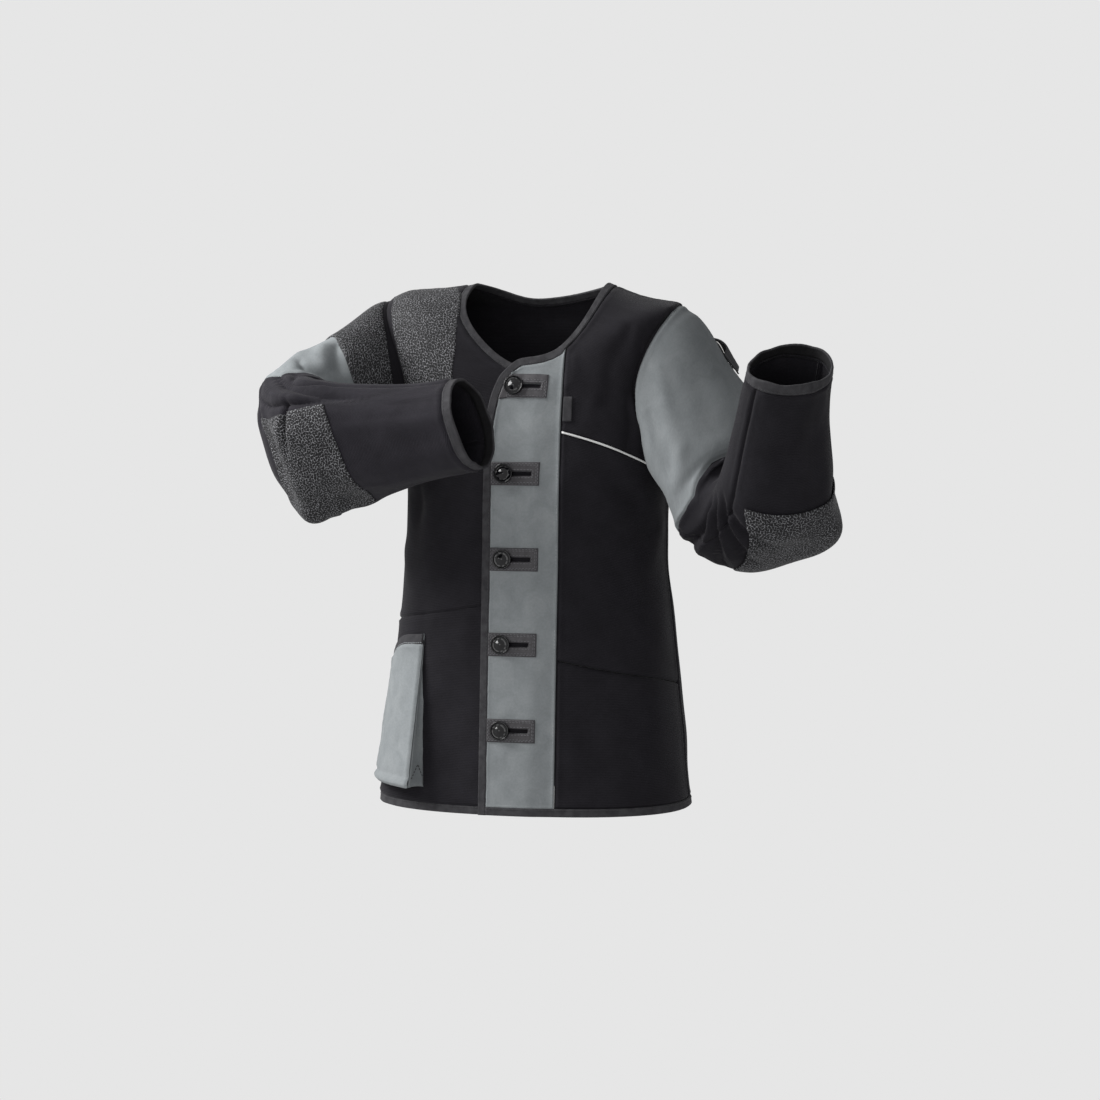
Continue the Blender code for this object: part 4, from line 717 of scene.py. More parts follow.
def edgeDistance(points, keep=None, closed=False):
    # how far each grid point is from the nearest edge of its piece
    rows, cols = points.shape[:2]
    cells = np.ones((rows - 1, cols if closed else cols - 1), bool) if keep is None else keep
    ring = np.pad(cells, ((1, 1), (0, 0)))
    ring = np.concatenate([ring[:, -1:], ring], axis=1) if closed else np.pad(ring, ((0, 0), (1, 1)))
    count = ring[:-1, :-1].astype(int) + ring[:-1, 1:] + ring[1:, :-1] + ring[1:, 1:]
    edge = points[(count > 0) & (count < 4)]
    flat = points.reshape(-1, 3)
    found = np.empty(len(flat))
    for first in range(0, len(flat), 4000):
        part = flat[first:first + 4000]
        square = (part**2).sum(-1)[:, None] + (edge**2).sum(-1) - 2 * part @ edge.T
        found[first:first + 4000] = np.sqrt(np.maximum(square.min(axis=1), 0))
    return found.reshape(rows, cols)


def metricUv(points):
    # lengths run along the rows and the columns, in metres
    across = np.linalg.norm(np.diff(points, axis=1), axis=-1)
    down = np.linalg.norm(np.diff(points, axis=0), axis=-1)
    u = np.pad(np.cumsum(across, axis=1), ((0, 0), (1, 0)))
    v = np.pad(np.cumsum(down, axis=0), ((1, 0), (0, 0)))
    return np.stack([u - u[:, u.shape[1] // 2, None], v], -1)


seamLook = {"roll": 0.0036, "drop": 0.0023, "puff": 0.0009, "pucker": 0.00045, "puckerSize": 0.013}


def sewnEdges(points, normals, keep=None, closed=False, drop=1.0, roll=1.0):
    # drop * (1 - ease(distance / roll)) beside every edge, a slight puff beyond it, and small puckers
    s, far = seamLook, edgeDistance(points, keep, closed)
    wide = s["roll"] * roll
    relief = -s["drop"] * drop * (1 - ease(far / wide)) + s["puff"] * hill(far - 1.5 * wide, wide)
    relief = relief + s["pucker"] * softNoise(points, s["puckerSize"], 11) * hill(far - wide, wide)
    return points + normals * relief[..., None]


pieces = {}


def solidPiece(name, points, quads, paint, uv=None):
    # caps the open ends and turns every face outwards
    piece = makeMesh(name, points, quads, paint, uv)
    mesh = bmesh.new()
    mesh.from_mesh(piece.data)
    ends = [edge for edge in mesh.edges if edge.is_boundary]
    if ends:
        bmesh.ops.holes_fill(mesh, edges=ends, sides=0)
    bmesh.ops.recalc_face_normals(mesh, faces=mesh.faces)
    mesh.to_mesh(piece.data)
    mesh.free()
    pieces[name] = piece


def clothSheet(name, points, paint, keep=None, closed=False, thick=None):
    # a thin wall: the outer face is the grid, its thickness goes inwards
    piece = makeMesh(name, points, gridQuads(points.shape[:2], keep, closed), paint, metricUv(points))
    wall = piece.modifiers.new("cloth", "SOLIDIFY")
    wall.thickness, wall.offset = thick or cut["cloth"], -1
    wall.use_rim, wall.use_even_offset = True, False
    pieces[name] = piece


def paint(name, colour, roughness, **more):
    # a plain material; more names further inputs of its shader
    made = bpy.data.materials.new(name)
    made.use_nodes = True
    made.diffuse_color = (*colour, 1)
    shader = made.node_tree.nodes["Principled BSDF"]
    for key, value in {"Base Color": (*colour, 1), "Roughness": roughness, **more}.items():
        shader.inputs[key].default_value = value
    return made, made.node_tree, shader


def node(tree, kind, **values):
    # values name inputs and settings; a value that is another node's output is linked
    made = tree.nodes.new(kind)
    for key, value in values.items():
        if isinstance(value, bpy.types.NodeSocket):
            tree.links.new(value, made.inputs[key])
        elif key in made.inputs:
            made.inputs[key].default_value = value
        else:
            setattr(made, key, value)
    return made


def cloud(tree, place, out="Fac", **values):
    # soft noise, read on the cut piece
    return node(tree, "ShaderNodeTexNoise", Vector=place, **values).outputs[out]


def bands(tree, place, way, scale, **values):
    # waves in bands, read on the cut piece
    return node(tree, "ShaderNodeTexWave", Vector=place, bands_direction=way, Scale=scale,
                **values).outputs["Fac"]


def blend(tree, first, second, share):
    # this share of the second, the rest of the first
    made = node(tree, "ShaderNodeMix", data_type="FLOAT")
    made.inputs[0].default_value = share
    for value, place in ((first, 2), (second, 3)):
        tree.links.new(value, made.inputs[place])
    return made.outputs[0]


def reckon(tree, operation, first, second, **values):
    # two outputs added or multiplied
    made = node(tree, "ShaderNodeMath", operation=operation, **values)
    for place, value in enumerate((first, second)):
        tree.links.new(value, made.inputs[place])
    return made.outputs["Value"]


def ranged(tree, value, start, end, low=0.0, high=1.0, kind="LINEAR"):
    # start becomes low and end becomes high
    ends = {"From Min": start, "From Max": end, "To Min": low, "To Max": high}
    return node(tree, "ShaderNodeMapRange", Value=value, interpolation_type=kind, **ends).outputs["Result"]


def shades(tree, source, stops, dim=1.0):
    # a colour ramp read at this output
    ramp = node(tree, "ShaderNodeValToRGB", Fac=source)
    while len(ramp.color_ramp.elements) < len(stops):
        ramp.color_ramp.elements.new(0.5)
    for element, (at, colour) in zip(ramp.color_ramp.elements, stops):
        element.position, element.color = at, (*(dim * x for x in colour), 1)
    return ramp.outputs["Color"]


def dress(tree, shader, tone, *layers):
    # the colour, and bumps one on another: each is an output, a strength and a height in metres
    tree.links.new(tone, shader.inputs["Base Color"])
    last = None
    for height, strength, deep in layers:
        bump = node(tree, "ShaderNodeBump", Height=height, Strength=strength, Distance=deep)
        if last:
            tree.links.new(last, bump.inputs["Normal"])
        last = bump.outputs["Normal"]
    tree.links.new(last, shader.inputs["Normal"])


def onCut(tree):
    # the place on the cut piece, in metres
    return node(tree, "ShaderNodeUVMap", uv_map="cut").outputs["UV"]


canvas = {"dark": (0.0082, 0.0074, 0.0098), "light": (0.0200, 0.0186, 0.0232), "rib": 0.0022,
          "thread": 0.0013,
          "shader": {"Specular IOR Level": 0.16, "Sheen Weight": 0.055, "Sheen Roughness": 0.35}}
suede = {"dark": (0.190, 0.205, 0.212), "middle": (0.220, 0.236, 0.243), "light": (0.252, 0.268, 0.274),
         "patch": 30.0,
         "shader": {"Specular IOR Level": 0.15, "Sheen Weight": 0.05, "Sheen Roughness": 0.6}}
grip = {"ground": (0.0085, 0.0085, 0.0095), "stone": (0.36, 0.36, 0.378), "pit": 0.0041, "wander": 0.0020,
        "ridge": (0.165, 0.03), "worn": (0.40, 0.60, 0.04), "patchy": (0.30, 0.70, 0.55),
        "shader": {"Specular IOR Level": 0.25}}
tape = {"dark": (0.030, 0.029, 0.032), "light": (0.056, 0.055, 0.059), "thread": 0.0010,
        # inside: across the tape, where the painted shade on the side turned in sets in
        "inside": (0.0112, 0.0128),
        "shader": {"Specular IOR Level": 0.2}}
leather = {"dark": (0.019, 0.017, 0.020), "light": (0.036, 0.033, 0.038), "grain": 900.0}
period = 0.314  # a band of scale 1 is this wide


def canvasPaint(name, dim):
    # ribs across and threads down, both gentle, on a cloth that is unevenly dark
    made, tree, shader = paint(name, canvas["dark"], 0.86, **canvas["shader"])
    place = onCut(tree)
    ribs = bands(tree, place, "Y", period / canvas["rib"], Distortion=1.6, Detail=1.0,
                 **{"Detail Scale": 3.0})
    ends = bands(tree, place, "X", period / canvas["thread"], Distortion=1.0)
    broad = cloud(tree, place, Scale=24.0, Detail=5.0, Roughness=0.62)
    fluff = cloud(tree, place, Scale=700.0, Detail=3.0)
    whole = blend(tree, blend(tree, broad, ribs, 0.34), fluff, 0.36)
    tone = shades(tree, whole, ((0.36, canvas["dark"]), (0.64, canvas["light"])), dim)
    dress(tree, shader, tone, (ribs, 0.45, 0.0003), (ends, 0.30, 0.0002), (fluff, 0.30, 0.0003))
    return made


def suedePaint(name, dim=1.0):
    # nap brushed this way and that: broad soft patches, small mottling, fine fibre
    made, tree, shader = paint(name, suede["middle"], 0.95, **suede["shader"])
    place = onCut(tree)
    broad = cloud(tree, place, Scale=suede["patch"], Detail=4.0, Roughness=0.6, Distortion=0.8)
    small = cloud(tree, place, Scale=330.0, Detail=4.0, Roughness=0.7)
    stops = ((0.36, suede["dark"]), (0.50, suede["middle"]), (0.64, suede["light"]))
    tone = shades(tree, blend(tree, broad, small, 0.42), stops, dim)
    dress(tree, shader, tone, (broad, 0.12, 0.0012), (small, 0.25, 0.0004))
    return made


def gripPaint():
    # pale broken ridges round small black pits: the distance to a cell's edge, worn away here and there
    made, tree, shader = paint("gripLook", grip["ground"], 0.72, **grip["shader"])
    place = onCut(tree)
    wander = cloud(tree, place, "Color", Scale=260.0, Detail=1.0)
    worn = cloud(tree, place, Scale=420.0, Detail=1.0)
    broad = cloud(tree, place, Scale=38.0, Detail=3.0)
    moved = node(tree, "ShaderNodeVectorMath", operation="MULTIPLY_ADD")
    moved.inputs[1].default_value = (grip["wander"], grip["wander"], 0.0)
    for value, k in ((wander, 0), (place, 2)):
        tree.links.new(value, moved.inputs[k])
    cells = node(tree, "ShaderNodeTexVoronoi", feature="DISTANCE_TO_EDGE", voronoi_dimensions="2D",
                 Scale=1 / grip["pit"], Vector=moved.outputs["Vector"]).outputs["Distance"]
    ridge = ranged(tree, cells, *grip["ridge"], kind="SMOOTHSTEP")
    kept = ranged(tree, worn, *grip["worn"], kind="SMOOTHSTEP")
    first = reckon(tree, "MULTIPLY", ridge, kept)
    amount = reckon(tree, "MULTIPLY", first, ranged(tree, broad, *grip["patchy"]))
    dress(tree, shader, shades(tree, amount, ((0.0, grip["ground"]), (1.0, grip["stone"]))),
          (first, 0.9, 0.0006))
    return made


def tapePaint(name, under=1.0):
    # a soft diagonal rib; under scales the colour of the side turned in, paler above 1 and darker below;
    # darker, it is painted shade
    made, tree, shader = paint(name, tape["dark"], 0.85, **tape["shader"])
    place = onCut(tree)
    ribs = bands(tree, place, "DIAGONAL", 0.2 / tape["thread"], Distortion=1.0)
    broad = cloud(tree, place, Scale=90.0, Detail=4.0)
    tone = shades(tree, broad, ((0.32, tape["dark"]), (0.70, tape["light"])))
    # painted shade: past inside, the side turned in is darkened by under
    across = node(tree, "ShaderNodeSeparateXYZ", Vector=place).outputs["Y"]
    dim = node(tree, "ShaderNodeVectorMath", operation="SCALE",
               Scale=ranged(tree, across, *tape["inside"], 1.0, under))
    tree.links.new(tone, dim.inputs[0])
    dress(tree, shader, dim.outputs["Vector"], (ribs, 0.4, 0.0003), (broad, 0.2, 0.0008))
    return made


def leatherPaint():
    # small cells of grain on a ground that is unevenly dark
    made, tree, shader = paint("leatherLook", leather["dark"], 0.58)
    place = onCut(tree)
    cells = node(tree, "ShaderNodeTexVoronoi", voronoi_dimensions="2D", Scale=leather["grain"],
                 Vector=place)
    broad = cloud(tree, place, Scale=150.0, Detail=4.0)
    tone = shades(tree, broad, ((0.35, leather["dark"]), (0.70, leather["light"])))
    dress(tree, shader, tone, (cells.outputs["Distance"], 0.35, 0.0003), (broad, 0.2, 0.0006))
    return made


plainLooks = {  # name, colour, roughness and further inputs
    "button": ("buttonLook", (0.005, 0.005, 0.006), 0.13, {"Specular IOR Level": 0.34}),
    "piping": ("pipingLook", (0.72, 0.72, 0.71), 0.60, {}),
    "webbing": ("webbingLook", (0.018, 0.018, 0.020), 0.80, {}),
    "metal": ("metalLook", (0.60, 0.59, 0.57), 0.32, {"Metallic": 1.0}),
    "threadGrey": ("threadGrey", (0.330, 0.350, 0.360), 0.75, {}),
    "threadMid": ("threadMid", (0.120, 0.120, 0.128), 0.75, {}),
    "threadDark": ("threadDark", (0.030, 0.030, 0.033), 0.70, {}),
}
paints = {
    # the right forearm's canvas is a paler copy of the same cloth: painted light where the key lamp falls
    # on it
    "canvas": canvasPaint("canvasLook", 0.80), "canvasPaintedLight": canvasPaint("canvasPaintedLightLook", 1.30),
    # the right sleeve's suede is made paler and the left's darker: painted light and painted shade from the
    # key lamp on the right sleeve's side
    "suedePaintedLitRight": suedePaint("suedePaintedLitRightLook", 1.12), "suedePaintedShadeLeft": suedePaint("suedePaintedShadeLeftLook", 0.86),
    # the gusset's suede is a paler copy: painted light making up for the shade it sits in beside the pocket
    "suede": suedePaint("suedeLook"), "gussetSuedePaintedLight": suedePaint("gussetSuedePaintedLightLook", 1.10), "grip": gripPaint(),
    # the cuffs' tape copy has its turned-in side darkened: painted shade inside the sleeves' mouths
    "tape": tapePaint("tapeLook"), "cuffTapePaintedShade": tapePaint("cuffTapePaintedShadeLook", 0.22), "leather": leatherPaint(),
    **{key: paint(*look[:3], **look[3])[0] for key, look in plainLooks.items()},
}
print("stage: materials made")


def sleevePart(name, side, rows, cols, paint):
    # rows and cols are the ring table's; a whole turn of columns closes on itself
    rings = sleeveGrids[side]
    closed = cols[1] - cols[0] == around
    gaps = np.linalg.norm(np.diff(rings, axis=0), axis=-1).max(axis=1)
    rowsAt = [stations(k, k + 1, sleeveRules["step"] / gaps[k], near=())[:-1] for k in range(*rows)]
    r = np.concatenate(rowsAt + [[rows[1] - 0.004]])
    extra = [line + way * off / gaps[min(int(rows[0]) if way > 0 else int(rows[1]) - 1, len(gaps) - 1)]
             for line, way in ((rows[0], 1), (rows[1], -1)) for off in (0.0008, 0.0018, 0.0030)]
    r = np.unique(np.round(np.concatenate([r, extra]), 5))
    if closed:
        c = cols[0] + np.arange(around * sleeveRules["colSteps"]) / sleeveRules["colSteps"]
    else:
        c = stations(cols[0], cols[1], 1 / sleeveRules["colSteps"], near=(0.04, 0.09, 0.16))
    row, col = np.meshgrid(r, c, indexing="ij")
    grey = arms[side]["greyEnd"]
    if grey in rows:  # the seam's way round, fading out along the piece
        rest = rows[0] if rows[1] == grey else sleeveRules["shiftEnd"]
        near = np.clip((row - rest) / (grey - rest), 0, 1)
        ways = np.array(seamShift[side])
        row = row + near**2 * np.interp((col + 6) % around - 6, ways[:, 0], ways[:, 1])
    points, normals = onSleeve(side, row, col)
    points = sewnEdges(points, normals, closed=closed)
    clothSheet(name, points, paint, closed=closed)


def sleevePieces():
    # each sleeve has a grey upper, and a black forearm in two parts between its seams
    for side, word in ((-1, "right"), (1, "left")):
        arm = arms[side]
        first, second = sleeveRules["seams"][side]
        fore = (arm["greyEnd"], sleeveRules["cuffStart"])
        # paler suede on the right sleeve and darker on the left: painted light and painted shade
        nap = paints["suedePaintedLitRight" if side < 0 else "suedePaintedShadeLeft"]
        sleevePart(f"sleeve_{word}_upper", side, (arm["capEnd"], fore[0]), (0, around), nap)
        # the right forearm takes the paler canvas copy: painted light from the key lamp on that side
        tone = paints["canvasPaintedLight" if side < 0 else "canvas"]
        sleevePart(f"sleeve_{word}_fore_under", side, fore, (first, second), tone)
        sleevePart(f"sleeve_{word}_fore_top", side, fore, (second, first + around), tone)
    sleevePart("sleeve_right_cap", -1, (0, arms[-1]["capEnd"]), (0, around), paints["canvas"])


sleevePieces()
print("stage: sleeves made")


def bodyPart(name, layout, rows, drop=1.0):
    # rows of a layout as one piece, the armhole's notch left open
    at = layouts[layout][0]
    columns = (at.shape[1] - 1) // fine
    notch = {"left": [(cut["columns"][1], columns)], "right": [(cut["columns"][-1], columns)],
             "back": [(0, arc), (columns - arc, columns)]}[layout]
    rowLines = [k for k in (lowRow, highRow) if rows[0] < k < rows[1]]
    colLines = sorted({k for span in notch for k in span if 0 < k < columns})
    r = stations(*rows, 1 / 9, rowLines)
    c = stations(0, columns, 1 / 9, colLines)
    place = readGrid(at, r * fine, c * fine)
    if layout != "back":
        place[:, -1, 0] += {"left": 1, "right": -1}[layout] * cut["sideOverlap"]  # closes the side seam
    keep = ~np.any([cellsIn(r, c, (lowRow, highRow), span) for span in notch], axis=0)
    points, normals = onBody(place[..., 0], place[..., 1])
    points = sewnEdges(points, normals, keep, drop=drop)
    clothSheet(name, points, paints["canvas"], keep)


def bodyPieces():
    # the back in one, each front cut across at its seams
    bodyPart("back", "back", (0, topRow))
    bodyPart("front_right_upper", "right", (cut["hipRow"][-1], topRow))
    bodyPart("front_right_lower", "right", (0, cut["hipRow"][-1]), drop=0.85)
    bodyPart("front_left_chest", "left", (cut["chestRow"], topRow))
    bodyPart("front_left_middle", "left", (cut["hipRow"][1], cut["chestRow"]))
    bodyPart("front_left_lower", "left", (0, cut["hipRow"][1]), drop=1.2)


bodyPieces()
print("stage: body made")


# the closing strip, drawn on the front as x and z
buttons = (  # height, middle, where its patch ends
    (-0.1410, -0.0110, 0.0360), (-0.2565, -0.0190, 0.0290), (-0.3705, -0.0190, 0.0290),
    (-0.4840, -0.0190, 0.0290), (-0.5985, -0.0180, 0.0290),
)
closing = {"patchHalf": 0.0155, "slotHalf": 0.0027, "slotBehind": 0.0055, "slotLength": 0.0430,
           "step": 0.0042}


def cornerTurn(x):
    # a superellipse: (1 - share^(2/n))^(n/2)
    share = np.clip((cut["cornerStart"] - x) / (cut["cornerStart"] - cut["closingEdge"]), 0, 1)
    return np.sqrt(1 - share ** (2 / cut["cornerShape"])) ** cut["cornerShape"]


def leftLevel(x):
    # the left neckline's level above x, worked out twice since its angle needs a level
    return leftNeckline(angleAt(x, leftNeckline(angleAt(x, 0.97))))


def closingHeight(x):
    # the strip's top: the neckline, less cornerDrop * (1 - cornerTurn) where it turns down
    level = leftLevel(x)
    height = bodyPoint(angleAt(np.maximum(x, 0), level), level)[..., 2]
    return height - cut["cornerDrop"] * (1 - cornerTurn(x))


def closingX(z):
    # the strip's free edge at height z: the same corner solved for x
    turned = np.clip(1 - (bodyPoint(0.0, 1.0)[2] - z) / cut["cornerDrop"], 0, 1) ** (1 / cut["cornerShape"])
    return mix(cut["cornerStart"], cut["closingEdge"], np.sqrt(1 - turned**2) ** cut["cornerShape"])


def stripTable():
    # rows and columns that fall on the patches and their slots, and the finished edge round the strip
    hem = bodyShape["zFront"][0]
    table = np.array(buttons)[::-1]
    heights, middles = [hem + cut["tape"], (hem + table[0, 0]) / 2], [table[0, 1]] * 2
    for k, (height, middle, _) in enumerate(table):
        if k:
            gap = (height - table[k - 1, 0]) / 3
            heights += [table[k - 1, 0] + gap * 1.1, height - gap * 1.1]
            middles += [(table[k - 1, 1] + middle) / 2] * 2
        halves = (-closing["patchHalf"], -closing["slotHalf"], closing["slotHalf"], closing["patchHalf"])
        heights += [height + half for half in halves]
        middles += [middle] * 4
    heights, middles = np.array(heights), np.array(middles)
    slot = middles - closing["slotBehind"]
    patchEnd = np.interp(heights, table[:, 0], table[:, 2])
    lines = [slot + closing["slotLength"] * k / 3 for k in range(4)]
    lines += [patchEnd, (patchEnd + cut["placketEdge"]) / 2, np.full(len(heights), cut["placketEdge"])]
    corner = mix(cut["cornerStart"], cut["closingEdge"],
                 math.sin(math.radians(cut["cornerTurn"])) ** cut["cornerShape"])
    topX = np.linspace(cut["placketEdge"], corner, len(lines) + 1)
    edgeX = np.concatenate([topX, closingX(heights[::-1]), [cut["closingEdge"]]])
    edgeZ = np.concatenate([closingHeight(topX), heights[::-1], [hem]])
    ahead = unit(np.stack([np.gradient(edgeX), np.gradient(edgeZ)], -1))
    ahead[-2:] = (0, -1)
    innerX, innerZ = edgeX - ahead[:, 1] * cut["tape"], edgeZ + ahead[:, 0] * cut["tape"]
    top = leftLevel(cut["placketEdge"])
    start = top - levelStep(angleAt(cut["placketEdge"], top), top, cut["tape"])
    innerX[0], innerZ[0] = cut["placketEdge"], bodyPoint(angleAt(cut["placketEdge"], start), start)[2]
    count = len(lines) + 1
    x, z = np.empty((len(heights) + 1, count)), np.empty((len(heights) + 1, count))
    x[:-1, 1:], z[:-1] = np.array(lines).T, heights[:, None]
    x[:-1, 0], z[:-1, 0] = innerX[count:-1][::-1], innerZ[count:-1][::-1]
    x[-1], z[-1] = innerX[:count][::-1], innerZ[:count][::-1]
    return np.stack([x, z], -1), np.stack([edgeX, edgeZ], -1), np.stack([innerX, innerZ], -1)


strip, stripEdge, stripInner = stripTable()


def onStrip(x, z, lift=0.0):
    # the strip lies over the front and comes down to it where it is sewn
    angle, level = onFront(x, z)
    rise = cut["placketLift"] * ease((cut["placketEdge"] - x) / 0.040)
    return onBody(angle, level, rise + lift)


def placketPiece():
    # the closing strip, open at each button's slot
    rows, cols = len(strip) - 1, strip.shape[1] - 1
    more = [int(np.ptp(strip[k:k + 2, 2, 1]) / closing["step"]) for k in range(rows)]
    r = np.concatenate([np.linspace(k, k + 1, 2 + count) for k, count in enumerate(more)])
    r = closer(np.unique(r), (0.02, 0.05, 0.10), rows)
    c = np.unique(np.concatenate([np.linspace(0, cols, cols * 4 + 1),
                                  [0.06, 0.12, cols - 0.14, cols - 0.06]]))
    at = readGrid(strip, r, c)
    holes = [cellsIn(r, c, (6 * k + 3, 6 * k + 4), (1, 4)) for k in range(len(buttons))]
    points, normals = onStrip(at[..., 0], at[..., 1])
    wave = 0.0006 * softNoise(points, 0.06, 21)
    keep = ~np.any(holes, axis=0)
    points = sewnEdges(points + normals * wave[..., None], normals, keep, drop=0.3, roll=0.35)
    clothSheet("placket", points, paints["suede"], keep)


def patchPieces():
    # a patch round each slot, lower at its edges
    for k in range(len(buttons)):
        cells = strip[6 * k + 2:6 * k + 6, :6]
        r = np.concatenate([np.linspace(0, 1, 10), np.linspace(1, 2, 4), np.linspace(2, 3, 10)])
        r = closer(r, (0.03, 0.07), 3)
        c = closer(np.linspace(0, 5, 41), (0.03, 0.07), 5)
        at = readGrid(cells, r, c)
        keep = ~cellsIn(r, c, (1, 2), (1, 4))
        points, normals = onStrip(at[..., 0], at[..., 1], cut["seamGap"] + cut["leather"])
        far = edgeDistance(points, keep)
        lift = -0.0007 * (1 - ease(far / 0.0013)) + 0.0003 * softNoise(points, 0.02, 31 + k)
        clothSheet(f"patch_{len(buttons) - k}", points + normals * lift[..., None], paints["leather"], keep,
                   thick=cut["leather"])


placketPiece()
patchPieces()


tapeLines = {}
tapeShape = {"rise": 0.0009, "under": 0.0028, "wave": 0.0004, "waveSize": 0.011, "step": 0.0032,
             # shares of the width along the section: over the cloth, round the edge, and back beneath
             "over": (-0.07, -0.06, 0.02, 0.3, 0.55, 0.8), "tuck": (-0.0012, 0.0003), "edge": (0.88, 0.12),
             "beneath": (0.8, 0.5, 0.2, -0.07), "stitchAt": 0.45, "closedSteps": 5}


def tapePiece(name, sewn, sewnWay, free, freeWay, closed=False, paint="tape"):
    # a rounded section between two matching lines: over the cloth, round the free edge and back beneath
    count = len(sewn)
    if closed:
        stops = np.arange(count * tapeShape["closedSteps"]) / tapeShape["closedSteps"]
    else:
        length = np.linalg.norm(np.diff((sewn + free) / 2, axis=0), axis=-1)
        at = np.concatenate([[0], np.cumsum(length)])
        stops = np.linspace(0, at[-1], max(4, int(at[-1] / tapeShape["step"])) + 1)
        stops = np.minimum(np.interp(stops, at, np.arange(count)), count - 1.000001)
    lines = (sewn, free, sewnWay, freeWay)
    sewn, free, sewnWay, freeWay = (splineAlong(line, stops, closed) for line in lines)
    sewnWay, freeWay = unit(sewnWay), unit(freeWay)
    turn = np.linspace(math.pi / 2, -math.pi / 2, 7)
    up, down = tapeShape["rise"], tapeShape["under"]
    start, reach = tapeShape["edge"]
    share = np.concatenate([tapeShape["over"], start + reach * np.cos(turn), tapeShape["beneath"]])
    rise = np.concatenate([tapeShape["tuck"], [up] * 4, (up - down) / 2 + np.sin(turn) * (up + down) / 2,
                           [-down] * 4])
    points = mix(sewn[:, None], free[:, None], share[None, :, None])
    way = unit(mix(sewnWay[:, None], freeWay[:, None], share[None, :, None]))
    wave = softNoise(points, tapeShape["waveSize"],
                     41) * tapeShape["wave"] * (0.4 + np.abs(share - 0.5))[None, :]
    points = points + way * (rise[None, :] + wave * np.sign(rise)[None, :])[..., None]
    tapeLines[name] = (mix(points[:, 2], points[:, 3], tapeShape["stitchAt"]), way[:, 2], closed)
    section = np.cumsum(np.pad(np.abs(np.diff(share)), (1, 0))) * cut["tape"]
    line = np.arange(len(points)) * tapeShape["step"]
    if closed:  # the line closes as well as the section
        points = points.swapaxes(0, 1)
        along, across = np.meshgrid(line, section)
    else:
        across, along = np.meshgrid(section, line)
    quads = gridQuads(points.shape[:2], closed=True, loop=closed)
    solidPiece(name, points, quads, paints[paint], np.stack([along, across], -1))


def joinLines(parts):
    # lines that follow on, keeping a shared end once
    return np.concatenate([parts[0]] + [part[1:] for part in parts[1:]])


def edgeTapes():
    # neckline and hem: from the right front round the back to the strip
    order = (("right", 1), ("back", -1), ("left", -1))
    for name, row, inner, edge in (("binding_neck", -1, stripInner, stripEdge),
                                   ("binding_hem", 0, None, None)):
        lines = [[], [], [], []]
        for key, way in order:
            at, free = layouts[key]
            sewn = at[row][::way][::fine]
            finished = free[::way][::fine] if row else np.stack([sewn[:, 0], sewn[:, 1] * 0], -1)
            for k, place in ((0, sewn), (2, finished)):
                point, normal = onBody(place[:, 0], place[:, 1])
                lines[k].append(point)
                lines[k + 1].append(normal)
        if inner is None:
            inner = strip[0][::-1]
            edge = np.stack([inner[:, 0], np.full(len(inner), bodyShape["zFront"][0])], -1)
        for k, place in ((0, inner), (2, edge)):
            point, normal = onStrip(place[:, 0], place[:, 1])
            lines[k].append(point)
            lines[k + 1].append(normal)
        tapePiece(name, *[joinLines(line) for line in lines])


def cuffTapes():
    # round each sleeve's mouth
    for side, word in ((-1, "right"), (1, "left")):
        col, row = np.arange(float(around)), np.full(around, float(sleeveRules["cuffStart"]))
        sewn, sewnWay = onSleeve(side, row, col)
        free, freeWay = onSleeve(side, row + 0.9999, col)
        uneven = 0.0022 * softNoise(free, 0.030, 71 + side)  # a mouth that isn't quite even
        free = free + unit(free - sewn) * uneven[:, None]
        # the cuff tape's turned-in side carries painted shade
        tapePiece(f"cuff_{word}", sewn, sewnWay, free, freeWay, True, "cuffTapePaintedShade")


edgeTapes()
cuffTapes()
print("stage: strip, patches and tapes made")


padEdges = {  # row and column of the sleeve, or level and angle in degrees of the body
    "sleeve_right_pad": (((0.34, -4.0), (0.34, -1.5), (0.34, 1.0), (0.45, 2.7), (0.8, 4.1), (1.8, 6.5)),
                         ((2.5, -4.0), (2.5, -1.5), (2.5, 1.0), (2.8, 2.7), (3.5, 4.3), (4.6, 6.1))),
    "elbow_pad_right": (((11.4, 22.4), (11.6, 20.5), (11.6, 18.5), (11.7, 16.0), (11.5, 13.0)),
                        ((6.2, 21.0), (6.2, 19.5), (6.2, 18.0), (6.2, 15.5), (6.2, 13.0))),
    "elbow_pad_left": (((11.0, 10.0), (11.0, 13.0), (11.0, 16.0), (11.0, 19.0), (11.0, 22.0)),
                       ((7.4, 11.2), (7.4, 13.2), (7.4, 16.0), (7.4, 19.0), (7.4, 21.5))),
    "shoulder_pad": (((0.775, -37.5), (0.853, -39.3), (0.909, -41.0), (0.960, -48.5), (0.984, -69.0),
                      (0.972, -104.0)),
                     ((0.745, -64.8), (0.810, -64.6), (0.862, -68.0), (0.898, -74.0), (0.911, -82.0),
                      (0.910, -104.0))),
}
padLook = {"edges": (0.0007, 0.0016, 0.0028), "step": 0.0030, "thick": 0.0016, "round": 0.0022,
           "sink": 0.0012, "gap": 0.0012}


def between(edges, rows, cols):
    # places spread between two facing edges; each edge is a smooth line through its pairs
    first, last = (np.array(edge, float) for edge in edges)
    knots = np.linspace(0, 1, len(first))
    ends = [np.stack([curveThrough(cols, knots, edge[:, k]) for k in (0, 1)], -1) for edge in (first, last)]
    spread = mix(ends[0][None], ends[1][None], rows[:, None, None])
    return spread[..., 0], spread[..., 1]


def padStations(length):
    # even steps from 0 to 1, and closer ones by both ends
    even = np.linspace(0, 1, max(3, round(length / padLook["step"])) + 1)
    return closer(even, np.array(padLook["edges"]) / length, 1)


